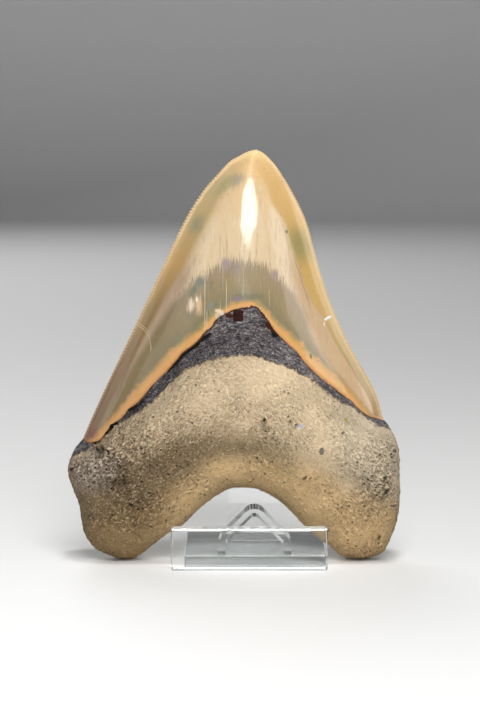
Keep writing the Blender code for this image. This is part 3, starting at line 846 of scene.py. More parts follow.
    def fields(self, points: np.ndarray, rim: np.ndarray, tongue: np.ndarray) -> dict[str, np.ndarray]:
        """Values at each point.

        Args:
            points: Points (n, 3).
            rim: Distance from the free outline.
            tongue: 1 on the tongue side, 0 on the lip side.

        Returns:
            Arrays by attribute name.
        """
        shape, flat = self.shape, points[:, [0, 2]]
        x, z = flat.T
        front = self.pose.front(points)
        enamel, lip, band = (
            line.distance(flat) * np.sign(line.height(x) - z) * turned
            for line, turned in ((shape.tongue_enamel, 1), (shape.lip_enamel, 1), (shape.bourlette_edge, -1)))
        uneven = zip((points, points[:, ::-1]), self.ragged_sizes)
        ragged = front + self.raggedness * np.column_stack([ripples(p, (size,) * 3) for p, size in uneven])
        pit = np.zeros(len(points))
        for hole in self.pits:
            pit = np.maximum(pit, np.clip(self.pit_reach - hole.away(ragged), 0, self.pit_reach) * tongue)
        crack = np.full(len(points), self.off_crack)
        for line, width in self.cracks:
            crack = np.minimum(crack, distance_to(front, Line(line, 6).dense()) / width)
        sx, sz, reach = self.shoulder
        across, up = (front[:, 0] - sx) / reach, (front[:, 1] - sz) / (reach * self.shoulder_flatness)
        shoulder = np.exp(-((across**2 + up**2) ** 2))
        rough = self.rough_middle + self.rough_more * ripples(points, self.rough_size, 2)
        rough += self.shoulder_more * shoulder
        for patch in self.patches:
            across, up = (front[:, 0] - patch.x) / patch.wide, (front[:, 1] - patch.z) / patch.high
            rough += patch.more * tongue * np.exp(-(across**2) - up**2)
        rough = np.clip(rough, *self.rough_range)
        on_tongue = tongue > 0.5
        values = {
            "place": points,
            "front": np.column_stack([front[:, 0], points[:, 1], front[:, 1]]),
            "lobe": self.along_lobes(points),
            "ragged": ragged,
            "enamel": np.where(on_tongue, enamel, lip),
            "bourlette": np.where(on_tongue, band, self.off_band),
            "rim": rim,
            "pit": pit,
            "shoulder": shoulder,
            "rough": rough,
            "crack": np.where(on_tongue, crack, self.off_crack),
            "tongue": tongue,
        }
        return values | {"pore": self.scatter(points, rough * smoothstep(values["enamel"]))}

    def above_floor(self, points: np.ndarray) -> np.ndarray:
        """Lifts onto the floor the points that would sink into it.

        Args:
            points: Points (n, 3).

        Returns:
            The points, with the lifted ones among them.
        """
        matrix = np.array(self.pose.matrix())
        up = matrix[2, :3]
        sunk = np.minimum(points @ up + matrix[2, 3], 0)
        return points - sunk[:, None] * up / (up**2).sum()

    def along_lobes(self, points: np.ndarray) -> np.ndarray:
        """Turns places so that the grain can follow the lobes.

        Args:
            points: Points (n, 3).

        Returns:
            The points as distances along each lobe, through it and across it.
        """
        out, turn = np.abs(points[:, 0] - self.shape.crest_middle), math.radians(self.lobe_turn_deg)
        along = points[:, 2] * math.sin(turn) - out * math.cos(turn)
        across = points[:, 2] * math.cos(turn) + out * math.sin(turn)
        return np.column_stack([along, points[:, 1], across])

    def scatter(self, points: np.ndarray, density: np.ndarray) -> np.ndarray:
        """Random pores over the bare root.

        Args:
            points: Points (n, 3).
            density: How likely a pore is at each point.

        Returns:
            How deep in a pore each point is, 0 to 1.
        """
        chance = np.random.default_rng(self.seed)
        likely = density**self.pore_crowding
        chosen = chance.choice(len(points), self.pores, replace=False, p=likely / likely.sum())
        low, high = self.pore_radius
        radii = low + (high - low) * chance.random(self.pores) ** self.pore_smallness
        stretch = 1 + self.pore_stretch * chance.random((self.pores, 3)) ** 2
        order = np.argsort(points[:, 0])
        sorted_x = points[order, 0]
        depth = np.zeros(len(points))
        for middle, radius, squeeze in zip(points[chosen], radii, stretch):
            window = (middle[0] - self.pore_window, middle[0] + self.pore_window)
            near = order[slice(*np.searchsorted(sorted_x, window))]
            gap = np.linalg.norm((points[near] - middle) * squeeze, axis=1) / radius
            deep = np.clip(self.pore_edge - gap, 0, 1) * min(1.0, radius / self.pore_full)
            depth[near] = np.maximum(depth[near], deep)
        return depth

    def relief(self, points: np.ndarray, values: dict[str, np.ndarray]) -> np.ndarray:
        """Lumps, grain, pores, pits and cracks as a shift along the normals, in millimetres.

        Args:
            points: Points (n, 3).
            values: The values from fields().

        Returns:
            n shifts.
        """
        shape = self.shape
        x, z, tongue, rough = points[:, 0], points[:, 2], values["tongue"], values["rough"]
        open_root = smoothstep((shape.tongue_enamel.height(x) - z) / self.lump_reach)
        shift = shape.lump_height * ripples(points, (shape.lump_size,) * 3) * open_root
        bared, in_band = (smoothstep(values[name] / self.bare_reach) for name in ("enamel", "bourlette"))
        crumbs = ripples(values["lobe"], self.grain_size, 2)
        grainy = self.grain * crumbs - self.crumb * np.maximum(crumbs - self.crumb_from, 0)
        grainy += self.fine_grain * ripples(points, self.fine_size)
        wavy = self.undulation * (ripples(points, self.undulation_size, 2) - self.undulation_middle)
        shift += bared * rough * (grainy + wavy) - self.bare_sink * bared
        shift -= bared * self.pore_depth * values["pore"]
        layered = np.column_stack([x, points[:, 1], values["bourlette"] * self.strata_stretch])
        layers = ripples(layered, self.strata_size, 2) - self.strata_middle
        shift += in_band * bared * self.strata * layers
        ragged = values.pop("ragged")
        for holes, steepness in ((self.pits, self.pit_steepness), (self.dimples, self.dimple_steepness)):
            for hole in holes:
                shift -= hole.depth * np.exp(-(hole.away(ragged) ** steepness)) * tongue
        shift *= self.rim_calm + (1 - self.rim_calm) * smoothstep(values["rim"] / self.rim_width)
        shift = np.minimum(shift, self.rim_slope * values["rim"])
        return shift - self.crack_depth * np.exp(-(values["crack"] ** 2)) * bared


# --- shader maths --------------------------------------------------------------------------------
def operators(operation: str) -> tuple[Callable[[Value, Number], Value], Callable[[Value, Number], Value]]:
    """Makes the two methods of an operator, which add one Math node.

    Args:
        operation: The node's operation.

    Returns:
        The operator with the value first, and its reflection with the value last.
    """

    def first(value: Value, other: Number) -> Value:
        """The value, then the other."""
        return value.graph.maths(operation, value, other)

    def last(value: Value, other: Number) -> Value:
        """The other, then the value."""
        return value.graph.maths(operation, other, value)

    return first, last


class Value:
    """A number socket; its operators add Math nodes."""

    def __init__(self, graph: Graph, socket: bpy.types.NodeSocket) -> None:
        """Wraps a socket of the graph."""
        self.graph = graph
        self.socket = socket

    def math(self, operation: str, *others: Number) -> Value:
        """Adds a Math node.

        Args:
            operation: The node's operation.
            others: Its further operands.

        Returns:
            The node's output.
        """
        return self.graph.maths(operation, self, *others)

    __add__, __radd__ = operators("ADD")
    __sub__, __rsub__ = operators("SUBTRACT")
    __mul__, __rmul__ = operators("MULTIPLY")
    __truediv__, __rtruediv__ = operators("DIVIDE")

    def __abs__(self) -> Value:
        """The size of self."""
        return self.math("ABSOLUTE")

    def least(self, other: Number) -> Value:
        """The smaller of the two."""
        return self.math("MINIMUM", other)

    def most(self, other: Number) -> Value:
        """The larger of the two."""
        return self.math("MAXIMUM", other)

    def rise(self, low: float, high: float) -> Value:
        """0 up to low, 1 from high on, eased between; high below low turns it round.

        Args:
            low: Where it is 0.
            high: Where it is 1.

        Returns:
            The eased step.
        """
        settings = {"interpolation_type": "SMOOTHSTEP", "clamp": True}
        turned = float(low >= high)
        first, last = sorted((low, high))
        inputs = {0: self, 1: first, 2: last, 3: turned, 4: 1 - turned}
        return Value(self.graph, self.graph.node("ShaderNodeMapRange", settings, inputs).outputs[0])


Number = Value | float
Link = Value | bpy.types.NodeSocket | float | Colour


class Graph:
    """One material's nodes, built by expressions."""

    def __init__(self, name: str) -> None:
        """Starts a material with a Principled shader.

        Args:
            name: The material's name.
        """
        self.material = bpy.data.materials.new(name)
        self.material.use_nodes = True
        self.tree = self.material.node_tree
        self.shader = self.tree.nodes["Principled BSDF"]

    def node(self, kind: str, settings: dict[str, object], inputs: dict[str | int, Link]) -> bpy.types.Node:
        """Adds a node: its settings first, then the values or links of its sockets.

        Args:
            kind: The node's type.
            settings: Its properties; "stops" fills a ramp.
            inputs: Sockets by name or index.

        Returns:
            The node.
        """
        made = self.tree.nodes.new(kind)
        for key, setting in settings.items():
            if key == "stops":
                elements = made.color_ramp.elements
                while len(elements) < len(setting):
                    elements.new(0.5)
                for element, (place, colour) in zip(elements, setting):
                    element.position = place
                    element.color = (*colour, 1.0)
            else:
                setattr(made, key, setting)
        for key, link in inputs.items():
            self.feed(made.inputs[key], link)
        return made

    def feed(self, socket: bpy.types.NodeSocket, link: Link) -> None:
        """Links a socket, or sets its value.

        Args:
            socket: The input.
            link: What goes into it.
        """
        if isinstance(link, Value):
            link = link.socket
        if isinstance(link, bpy.types.NodeSocket):
            self.tree.links.new(link, socket)
        elif isinstance(link, tuple) and len(socket.default_value) == 4:
            socket.default_value = (*link, 1.0)
        else:
            socket.default_value = link

    def maths(self, operation: str, *operands: Number) -> Value:
        """A Math node on the operands."""
        made = self.node("ShaderNodeMath", {"operation": operation}, dict(enumerate(operands)))
        return Value(self, made.outputs[0])

    def value(self, name: str) -> Value:
        """A per-point number of the mesh."""
        return Value(self, self.node("ShaderNodeAttribute", {"attribute_name": name}, {}).outputs["Fac"])

    def vector(self, name: str) -> bpy.types.NodeSocket:
        """A per-point vector of the mesh."""
        return self.node("ShaderNodeAttribute", {"attribute_name": name}, {}).outputs["Vector"]

    def parts(self, vector: bpy.types.NodeSocket) -> tuple[Value, Value, Value]:
        """The x, y and z of a vector."""
        split = self.node("ShaderNodeSeparateXYZ", {}, {0: vector})
        return tuple(Value(self, output) for output in split.outputs)

    def joined(self, x: Number, y: Number, z: Number) -> bpy.types.NodeSocket:
        """A vector of three numbers."""
        return self.node("ShaderNodeCombineXYZ", {}, {0: x, 1: y, 2: z}).outputs[0]

    def scaled(self, vector: bpy.types.NodeSocket, by: Triple) -> bpy.types.NodeSocket:
        """A vector multiplied along each axis."""
        return self.node("ShaderNodeVectorMath", {"operation": "MULTIPLY"}, {0: vector, 1: by}).outputs[0]

    def noise(self, vector: bpy.types.NodeSocket, grain: Grain) -> Value:
        """Smooth noise from 0 to 1.

        Args:
            vector: Places in millimetres.
            grain: Its size and fineness.

        Returns:
            The noise.
        """
        places = self.scaled(vector, grain.per_mm)
        inputs = {"Vector": places, "Scale": 1.0, "Detail": grain.detail, "Roughness": grain.rough}
        return Value(self, self.node("ShaderNodeTexNoise", {"noise_dimensions": "3D"}, inputs).outputs[0])

    def values(self, *names: str) -> tuple[Value, ...]:
        """Several per-point numbers of the mesh."""
        return tuple(self.value(name) for name in names)

    def cells(self, vector: bpy.types.NodeSocket, per_mm: Triple) -> tuple[Value, Value]:
        """Scattered spots.

        Args:
            vector: Places in millimetres.
            per_mm: Spots to the millimetre along each axis.

        Returns:
            Distance from the nearest spot's middle in spacings, and a random number for each spot.
        """
        inputs = {"Vector": self.scaled(vector, per_mm), "Scale": 1.0, "Randomness": 1.0}
        made = self.node("ShaderNodeTexVoronoi", {"feature": "F1"}, inputs)
        return Value(self, made.outputs["Distance"]), self.parts(made.outputs["Color"])[0]

    def ramp(self, factor: Value, stops: Stops) -> bpy.types.NodeSocket:
        """Colours along a number from 0 to 1."""
        return self.node("ShaderNodeValToRGB", {"stops": stops}, {0: factor}).outputs[0]

    def mix(self, share: Number, first: Link, second: Link) -> bpy.types.NodeSocket:
        """Two colours mixed, with this share of the second."""
        settings = {"data_type": "RGBA", "blend_type": "MIX"}
        return self.node("ShaderNodeMix", settings, {0: share, 6: first, 7: second}).outputs[2]

    def layered(self, colour: Link, *layers: tuple[Number, Link]) -> bpy.types.NodeSocket:
        """Lays paints over a colour, one after another.

        Args:
            colour: The colour under them all.
            layers: The share and the colour of each paint, from the lowest up.

        Returns:
            The colour.
        """
        for share, paint in layers:
            colour = self.mix(share, colour, paint)
        return colour

    def bump(
        self, height: Value, deep_mm: float, under: bpy.types.NodeSocket | None = None
    ) -> bpy.types.NodeSocket:
        """A normal from a height.

        Args:
            height: Height from 0 to 1.
            deep_mm: Depth of the whole range.
            under: Normal that this bump adds to.

        Returns:
            The normal.
        """
        inputs = {"Strength": 1.0, "Distance": deep_mm * MM, "Height": height}
        if under is not None:
            inputs["Normal"] = under
        return self.node("ShaderNodeBump", {}, inputs).outputs[0]

    def finish(self, **sockets: Link) -> bpy.types.Material:
        """Sets or links sockets of the shader.

        Args:
            sockets: Their names, in lower case with underscores, and what goes into them.

        Returns:
            The material.
        """
        for name, link in sockets.items():
            self.feed(self.shader.inputs[name.replace("_", " ").title().replace("Ior", "IOR")], link)
        return self.material


# --- finishes ------------------------------------------------------------------------------------
@dataclass(frozen=True)
class Grain:
    """Smooth noise: ripples to the millimetre along each axis, finer octaves and how much they add."""

    per_mm: Triple
    detail: float = 2.0
    rough: float = 0.5


@dataclass(frozen=True)
class Mark:
    """A small oval mark on the tongue face: a flake, chip or stain."""

    x: float
    z: float
    half_width: float
    half_height: float
    tilt_deg: float
    colour: Colour
    softness: float = 0.12
    corners: float = 2.0
    raggedness: float = 1.4

    def mask(self, x: Value, z: Value, ragged: Value) -> Value:
        """1 inside the mark, 0 outside, with a ragged edge.

        Args:
            x: Place across the tooth.
            z: Place up the tooth.
            ragged: Noise from 0 to 1.

        Returns:
            The mask.
        """
        turn = math.radians(self.tilt_deg)
        across, up = x - self.x, z - self.z
        u = (across * math.cos(turn) + up * math.sin(turn)) / self.half_width
        v = (up * math.cos(turn) - across * math.sin(turn)) / self.half_height
        powers = abs(u).math("POWER", self.corners) + abs(v).math("POWER", self.corners)
        reach = powers.math("POWER", 1 / self.corners)
        return (reach + (ragged - 0.5) * self.raggedness).rise(1 + self.softness, 1 - self.softness)


@dataclass(frozen=True)
class Hairline:
    """A thin upright crack in the enamel."""

    x: float
    low: float
    high: float
    half_width: float
    strength: float
    wander: float = 0.5
    core: float = 0.35
    ends: Span = (2.0, 3.0)

    def mask(self, x: Value, z: Value, waver: Value) -> Value:
        """1 on the crack, 0 off it.

        Args:
            x: Place across the tooth.
            z: Place up the tooth.
            waver: Noise from 0 to 1 that bends the crack.

        Returns:
            The mask.
        """
        off = abs(x - self.x + (waver - 0.5) * self.wander)
        line = off.rise(self.half_width, self.half_width * self.core)
        starts, stops = self.ends
        upright = line * z.rise(self.low, self.low + starts) * z.rise(self.high, self.high - stops)
        return upright * self.strength


@dataclass(frozen=True)
class RimBand:
    """The darker band along one cutting edge: its width and its colours up the tooth."""

    widths: tuple[Span, ...]
    edge: Stops
    middle: Stops
    outer_mm: float
    softness: float
    outer_ends: Span = (1.35, 0.75)
    wander: float = 1.3
    full_height: float = 140.0
    full_width: float = 10.0

    def up(self, graph: Graph, z: Value, stops: Stops) -> bpy.types.NodeSocket:
        """A ramp whose stops lie at heights in millimetres."""
        shares = tuple((at / self.full_height, colour) for at, colour in stops)
        return graph.ramp(z / self.full_height, shares)

    def painted(
        self, graph: Graph, under: Link, distance: Value, z: Value, waver: Value
    ) -> bpy.types.NodeSocket:
        """Lays the band over a colour.

        Args:
            graph: The material's nodes.
            under: The colour under the band.
            distance: Distance from the cutting edge in millimetres.
            z: Place up the tooth.
            waver: Noise from 0 to 1 that roughens the band's sides.

        Returns:
            The colour.
        """
        wavy = distance + (waver - 0.5) * self.wander
        outer = wavy.rise(*(self.outer_mm * end for end in self.outer_ends))
        band = graph.mix(outer, self.up(graph, z, self.middle), self.up(graph, z, self.edge))
        widths = tuple((at, (wide / self.full_width,) * 3) for at, wide in self.widths)
        share = wavy / (graph.parts(self.up(graph, z, widths))[0] * self.full_width)
        return graph.mix(share.rise(1 + self.softness, 1 - self.softness), under, band)


@dataclass(frozen=True)
class EnamelFinish:
    """Polished fossil enamel: cream middle, grey-green chevron, orange lower band and ochre rims."""

    orange: Stops = shades(
        (0.0, 176, 100, 58), (0.06, 216, 142, 88), (0.2, 236, 178, 110), (0.5, 232, 178, 108),
        (0.8, 208, 166, 104), (1.0, 176, 154, 108))
    chevron: Stops = shades(
        (0.0, 170, 150, 106), (0.12, 142, 132, 102), (0.4, 160, 142, 106), (0.75, 168, 147, 115),
        (1.0, 166, 146, 120))
    cream: Colour = srgb(231, 205, 166)
    cream_warm: Colour = srgb(232, 198, 150)
    fine_pale: Colour = srgb(242, 226, 192)
    tip: Colour = srgb(236, 194, 134)
    # Pale yellow-white at the very point: partly the tip's own pale colour, partly a painted highlight.
    tip_highlight: Colour = srgb(250, 224, 150)
    # The three side colours near the rims are partly the enamel's own tint, partly painted shade (left, lower
    # left) and painted light (right).
    flank_left_shaded: Colour = srgb(186, 160, 134)
    flank_low_shaded: Colour = srgb(132, 110, 88)
    flank_right_lit: Colour = srgb(214, 180, 142)
    mauve: Colour = srgb(150, 134, 138)
    green: Colour = srgb(134, 134, 110)
    chevron_pale: Colour = srgb(204, 190, 156)
    # Left-side chevron and orange tones: partly the enamel's own colour, partly painted shade on the side
    # turned away from the light.
    chevron_left_shaded: Colour = srgb(130, 112, 72)
    yellow: Colour = srgb(216, 174, 94)
    salmon: Colour = srgb(230, 164, 108)
    orange_left_shaded: Colour = srgb(214, 150, 84)
    burnt: Colour = srgb(112, 54, 28)
    streak_dark: Colour = srgb(158, 140, 118)
    # Painted light: a warm glow along the thin cutting edges, as if light shines through them.
    glow_low: Colour = srgb(216, 178, 138)
    glow_high: Colour = srgb(246, 212, 158)
    valley_dark: Colour = srgb(122, 88, 54)
    ghost_line: Colour = srgb(190, 176, 150)
    arc_line: Colour = srgb(222, 208, 160)
    pale_line: Colour = srgb(240, 234, 206)
    crack_dark: Colour = srgb(112, 98, 88)
    speck: Colour = srgb(120, 104, 82)
    black: Colour = (0.0, 0.0, 0.0)
    streaks: Grain = Grain((1.5, 0.3, 0.1), 3.0, 0.62)
    fine_streaks: Grain = Grain((4.2, 0.6, 0.2), 2.0, 0.6)
    clouds: Grain = Grain((0.3, 0.3, 0.22), 3.0)
    blotches: Grain = Grain((0.42, 0.42, 0.42), 3.0, 0.65)
    long_cracks: Grain = Grain((0.8, 0.5, 0.06), 2.0)
    specks_per_mm: Triple = (0.5, 0.5, 0.4)
    absorbed: float = 0.2
    ior: float = 1.6
    coat: float = 0.5
    coat_roughness: float = 0.05
    bump_mm: float = 0.04
    seam_mm: float = 7.35
    ghost_mm: float = 5.4
    arc_middle: Span = (-36.2, 70.2)
    arc_radii: Span = (8.35, 9.1)
    # The left band's dark lower colours are partly the rim's own tint and partly painted shade; the right
    # band's paler colours are partly painted light.
    left_band: RimBand = RimBand(
        ((40, 3.4), (60, 4.2), (72, 4.8), (85, 5.3), (91, 5.8), (96, 7.0), (106, 7.4), (116, 7.2), (126, 5.2),
         (134, 3.0)),
        shades((45, 92, 68, 46), (62, 110, 84, 58), (74, 162, 132, 88), (95, 226, 184, 128),
               (122, 252, 218, 168)),
        shades((39, 140, 84, 60), (46, 128, 100, 72), (70, 146, 118, 84), (84, 160, 134, 90),
               (98, 202, 164, 108), (112, 202, 174, 122), (126, 204, 182, 138), (132, 228, 190, 134)),
        1.3, 0.2)
    right_band: RimBand = RimBand(
        ((46, 2.6), (60, 3.6), (70, 4.2), (80, 4.5), (85, 6.3), (90, 7.1), (100, 7.1), (112, 7.2), (118, 8.4),
         (128, 6.0)),
        shades((50, 206, 172, 124), (80, 222, 190, 130), (100, 228, 196, 136), (122, 238, 204, 150)),
        shades((47, 176, 148, 112), (60, 184, 158, 112), (76, 204, 174, 118), (86, 216, 178, 112),
               (98, 214, 176, 108), (104, 196, 172, 110), (112, 222, 182, 116), (130, 232, 190, 130)),
        1.3, 0.09)
    marks: tuple[Mark, ...] = (
        Mark(-14.6, 84.3, 0.9, 2.1, -4, srgb(236, 216, 188), 0.4, 2, 3),
        Mark(-12, 84.4, 1.15, 2.8, 5, srgb(226, 190, 150), 0.4, 2, 3),
        Mark(-48.2, 40.8, 2.4, 1.4, 30, srgb(124, 82, 62), 0.8),
        Mark(-12.6, 86.2, 0.4, 0.8, 0, srgb(248, 236, 214)),
        Mark(-13.6, 89.2, 0.8, 2.2, -24, srgb(120, 128, 104), 0.7),
        Mark(-4.9, 81.9, 1.7, 0.9, -30, srgb(238, 218, 186)),
        Mark(-5.6, 80.6, 0.8, 1.5, 8, srgb(224, 196, 166)),
        Mark(31.2, 80.1, 1.1, 0.4, 25, srgb(255, 253, 248), 0.35, 2, 2.6),
        Mark(30.4, 79.5, 0.5, 0.4, 0, srgb(255, 250, 240), 0.35, 2, 2.6),
        Mark(29.9, 78, 0.22, 0.8, -4, srgb(246, 234, 216)),
        Mark(17.3, 108.8, 0.45, 0.55, 0, srgb(146, 138, 126)),
        Mark(-12.6, 111.2, 1.7, 2.8, -30, srgb(164, 156, 126), 1),
        Mark(0.6, 125.8, 2.8, 1.5, 42, srgb(178, 164, 140), 1),
        Mark(-3.4, 124, 3.4, 1.3, 44, srgb(184, 170, 124), 1),
        Mark(-3, 98, 1.3, 1.9, 0, srgb(172, 154, 150), 0.8),
        Mark(0.4, 96.4, 1.6, 2.2, 0, srgb(160, 144, 132), 0.8),
        Mark(13.4, 94.4, 1.1, 1.7, 0, srgb(172, 152, 142), 0.8),
        Mark(4, 87.1, 4.2, 0.8, 2, srgb(134, 128, 102), 0.7),
        Mark(1, 86.4, 2.2, 0.6, 4, srgb(146, 130, 132), 0.7),
        Mark(-8, 84.2, 1, 1.4, 0, srgb(150, 146, 132), 0.7),
        Mark(21.6, 104.6, 2.4, 5.2, 17, srgb(170, 154, 100), 0.8),
        Mark(25.4, 67.3, 0.35, 0.9, 10, srgb(120, 112, 74)),
        Mark(-11.6, 92, 1.6, 1.6, 30, srgb(132, 134, 116), 0.8))
    hairlines: tuple[Hairline, ...] = (
        Hairline(-9.9, 75, 99, 0.18, 0.65), Hairline(-2.7, 81, 94, 0.15, 0.4),
        Hairline(11.6, 83, 91, 0.15, 0.3), Hairline(-4.7, 80, 87, 0.12, 0.45),
        Hairline(-3.9, 88, 99, 0.12, 0.3), Hairline(3, 86, 100, 0.1, 0.25), Hairline(-9.2, 76, 84, 0.14, 0.5))

    def bands(
        self, graph: Graph, front: bpy.types.NodeSocket, streak: Value, fine: Value, cloud: Value
    ) -> bpy.types.NodeSocket:
        """Colour of the orange band, the chevron and the cream middle, before the rims, with painted shade on
        the left and lower left and painted light on the right near the rims.

        Args:
            graph: The material's nodes.
            front: Places in millimetres.
            streak: Broad upright streaks.
            fine: Fine upright streaks.
            cloud: Soft blotches.

        Returns:
            The colour.
        """
        x, _, z = graph.parts(front)
        foot, orange, grey, left, right = graph.values("foot", "orange", "grey", "rim_left", "rim_right")
        blotch = graph.noise(front, self.blotches)
        broad, thin, soft, spotty = streak - 0.5, fine - 0.5, cloud - 0.5, blotch - 0.5

        # Partly painted shade and light: darker on the left and lower left, lighter on the right, as if lit
        # from the right.
        flank_tint_and_shade = graph.layered(
            self.flank_left_shaded, (z.rise(72, 56) * 0.85, self.flank_low_shaded), (x.rise(2, 10), self.flank_right_lit))
        upper = graph.layered(
            self.cream,
            ((z + soft * 14).rise(108, 124), self.cream_warm),
            (z.rise(123, 131), self.tip),
            (thin.rise(0.0, 0.22) * 0.45, self.fine_pale),
            (broad.rise(0.02, 0.2) * z.rise(120, 102) * 0.55, self.streak_dark),
            (left.least(right).rise(13.5, 7.5) * z.rise(104, 92) * (0.55 + cloud * 0.6), flank_tint_and_shade))

        ragged, smooth, top = grey + broad * 6.0 + thin * 9.0, grey + soft * 1.6, z.rise(84, 93)
        over = ragged * top + smooth * (1 - top)
        inside = orange / (orange - grey).most(0.5) + soft * 0.25
        chevron = graph.layered(
            graph.ramp(inside, self.chevron),
            (soft.rise(0.02, 0.14) * x.rise(6, -8) * 0.55, self.green),
            (broad.rise(0.04, 0.2) * over.rise(-5, 0) * 0.75, self.mauve),
            (thin.rise(0.05, 0.25) * 0.35, self.chevron_pale),
            # Partly painted shade: the chevron darkens towards the left, away from the light.
            (x.rise(-6, -24) * 0.55, self.chevron_left_shaded))

        share = foot / (foot - orange.least(-0.02)) + spotty * 0.5
        lower = graph.layered(
            graph.ramp(share, self.orange),
            (spotty.rise(0.02, 0.14) * 0.7, self.yellow),
            ((0.5 - blotch).rise(0.02, 0.14) * 0.55, self.salmon),
            # Partly painted shade: the orange band darkens towards the left, away from the light.
            (x.rise(-6, -26) * 0.45, self.orange_left_shaded))
        shore = (orange + thin * 1.2 + spotty * 3.4).rise(-0.9, 0.9)
        burnt = (foot + broad * 1.4 + spotty * 0.8).rise(0.5, 0.1) * (0.25 + 0.75 * z.rise(72, 79))
        colour = graph.mix(shore, lower, graph.mix(over.rise(-1.6, 1.4), chevron, upper))
        return graph.mix(burnt, colour, self.burnt)

    def material(self) -> bpy.types.Material:
        """Builds the enamel's nodes.

        Returns:
            The material.
        """
        graph = Graph("polished_enamel")
        front = graph.vector("front")
        x, _, z = graph.parts(front)
        orange, left, right, valley, tongue = graph.values(
            "orange", "rim_left", "rim_right", "valley", "tongue")
        streak = graph.noise(front, self.streaks)
        fine = graph.noise(front, self.fine_streaks)
        cloud = graph.noise(front, self.clouds)
        thin, soft = fine - 0.5, cloud - 0.5

        plain = self.bands(graph, front, streak, fine, cloud)
        banded = self.right_band.painted(graph, plain, right, z, cloud)
        banded = self.left_band.painted(graph, banded, left, z, cloud)
        # Painted light shining through the thin edges, strongest on the serration points.
        glow = left.least(right).rise(1.2, 0.5) * (0.35 + 0.55 * valley.rise(0.35, 0.05))
        seam = abs(right - self.seam_mm + soft * 1.5).rise(0.34, 0.08) * z.rise(80, 88) * z.rise(104, 97)
        ghost = abs(left - self.ghost_mm + soft * 1.6).rise(0.5, 0.1) * z.rise(44, 52) * z.rise(76, 66)
        across, up = (part - middle for part, middle in zip((x, z), self.arc_middle))
        arc = (across * across + up * up).math("SQRT")
        inner, outer = (arc - radius for radius in self.arc_radii)
        curved = abs(inner + thin * 0.3).rise(0.2, 0.06).most(abs(outer).rise(0.16, 0.05) * z.rise(74, 75))
        curved = curved * z.rise(68, 70) * x.rise(-33, -31.4) * tongue
        crack = abs(graph.noise(front, self.long_cracks) - 0.5).rise(0.006, 0.001)
        cracked = crack * orange.rise(1.0, 4.0) * cloud.rise(0.46, 0.6)
        specks, chance = graph.cells(front, self.specks_per_mm)
        colour = graph.layered(
            plain,
            (orange.rise(-0.4, 0.3), banded),
            # Partly a painted highlight at the very point of the tip.
            (z.rise(131, 137), self.tip_highlight),
            (glow, graph.mix(z.rise(40, 80), self.glow_low, self.glow_high)),
            (valley.rise(0.3, 0.8) * 0.75, self.valley_dark),
            (seam * tongue * 0.55, self.mauve),
            (ghost * 0.25, self.ghost_line),
            (curved * 0.6, self.arc_line),
            (cracked * 0.5, self.crack_dark),
            *((mark.mask(x, z, fine) * tongue, mark.colour) for mark in self.marks),
            *((line.mask(x, z, streak) * tongue, self.pale_line) for line in self.hairlines),
            (specks.rise(0.2, 0.1) * chance.rise(0.86, 0.9) * 0.35, self.speck))
        dull = z.rise(122.0, 134.0)
        return graph.finish(
            base_color=graph.mix(self.absorbed, colour, self.black),
            roughness=0.12 + thin * 0.08 + cracked * 0.2 + dull * 0.35,
            normal=graph.bump(streak * 0.5 + fine * 0.2 - crack * 0.6, self.bump_mm), ior=self.ior,
            coat_weight=(1 - dull) * self.coat, coat_roughness=self.coat_roughness)


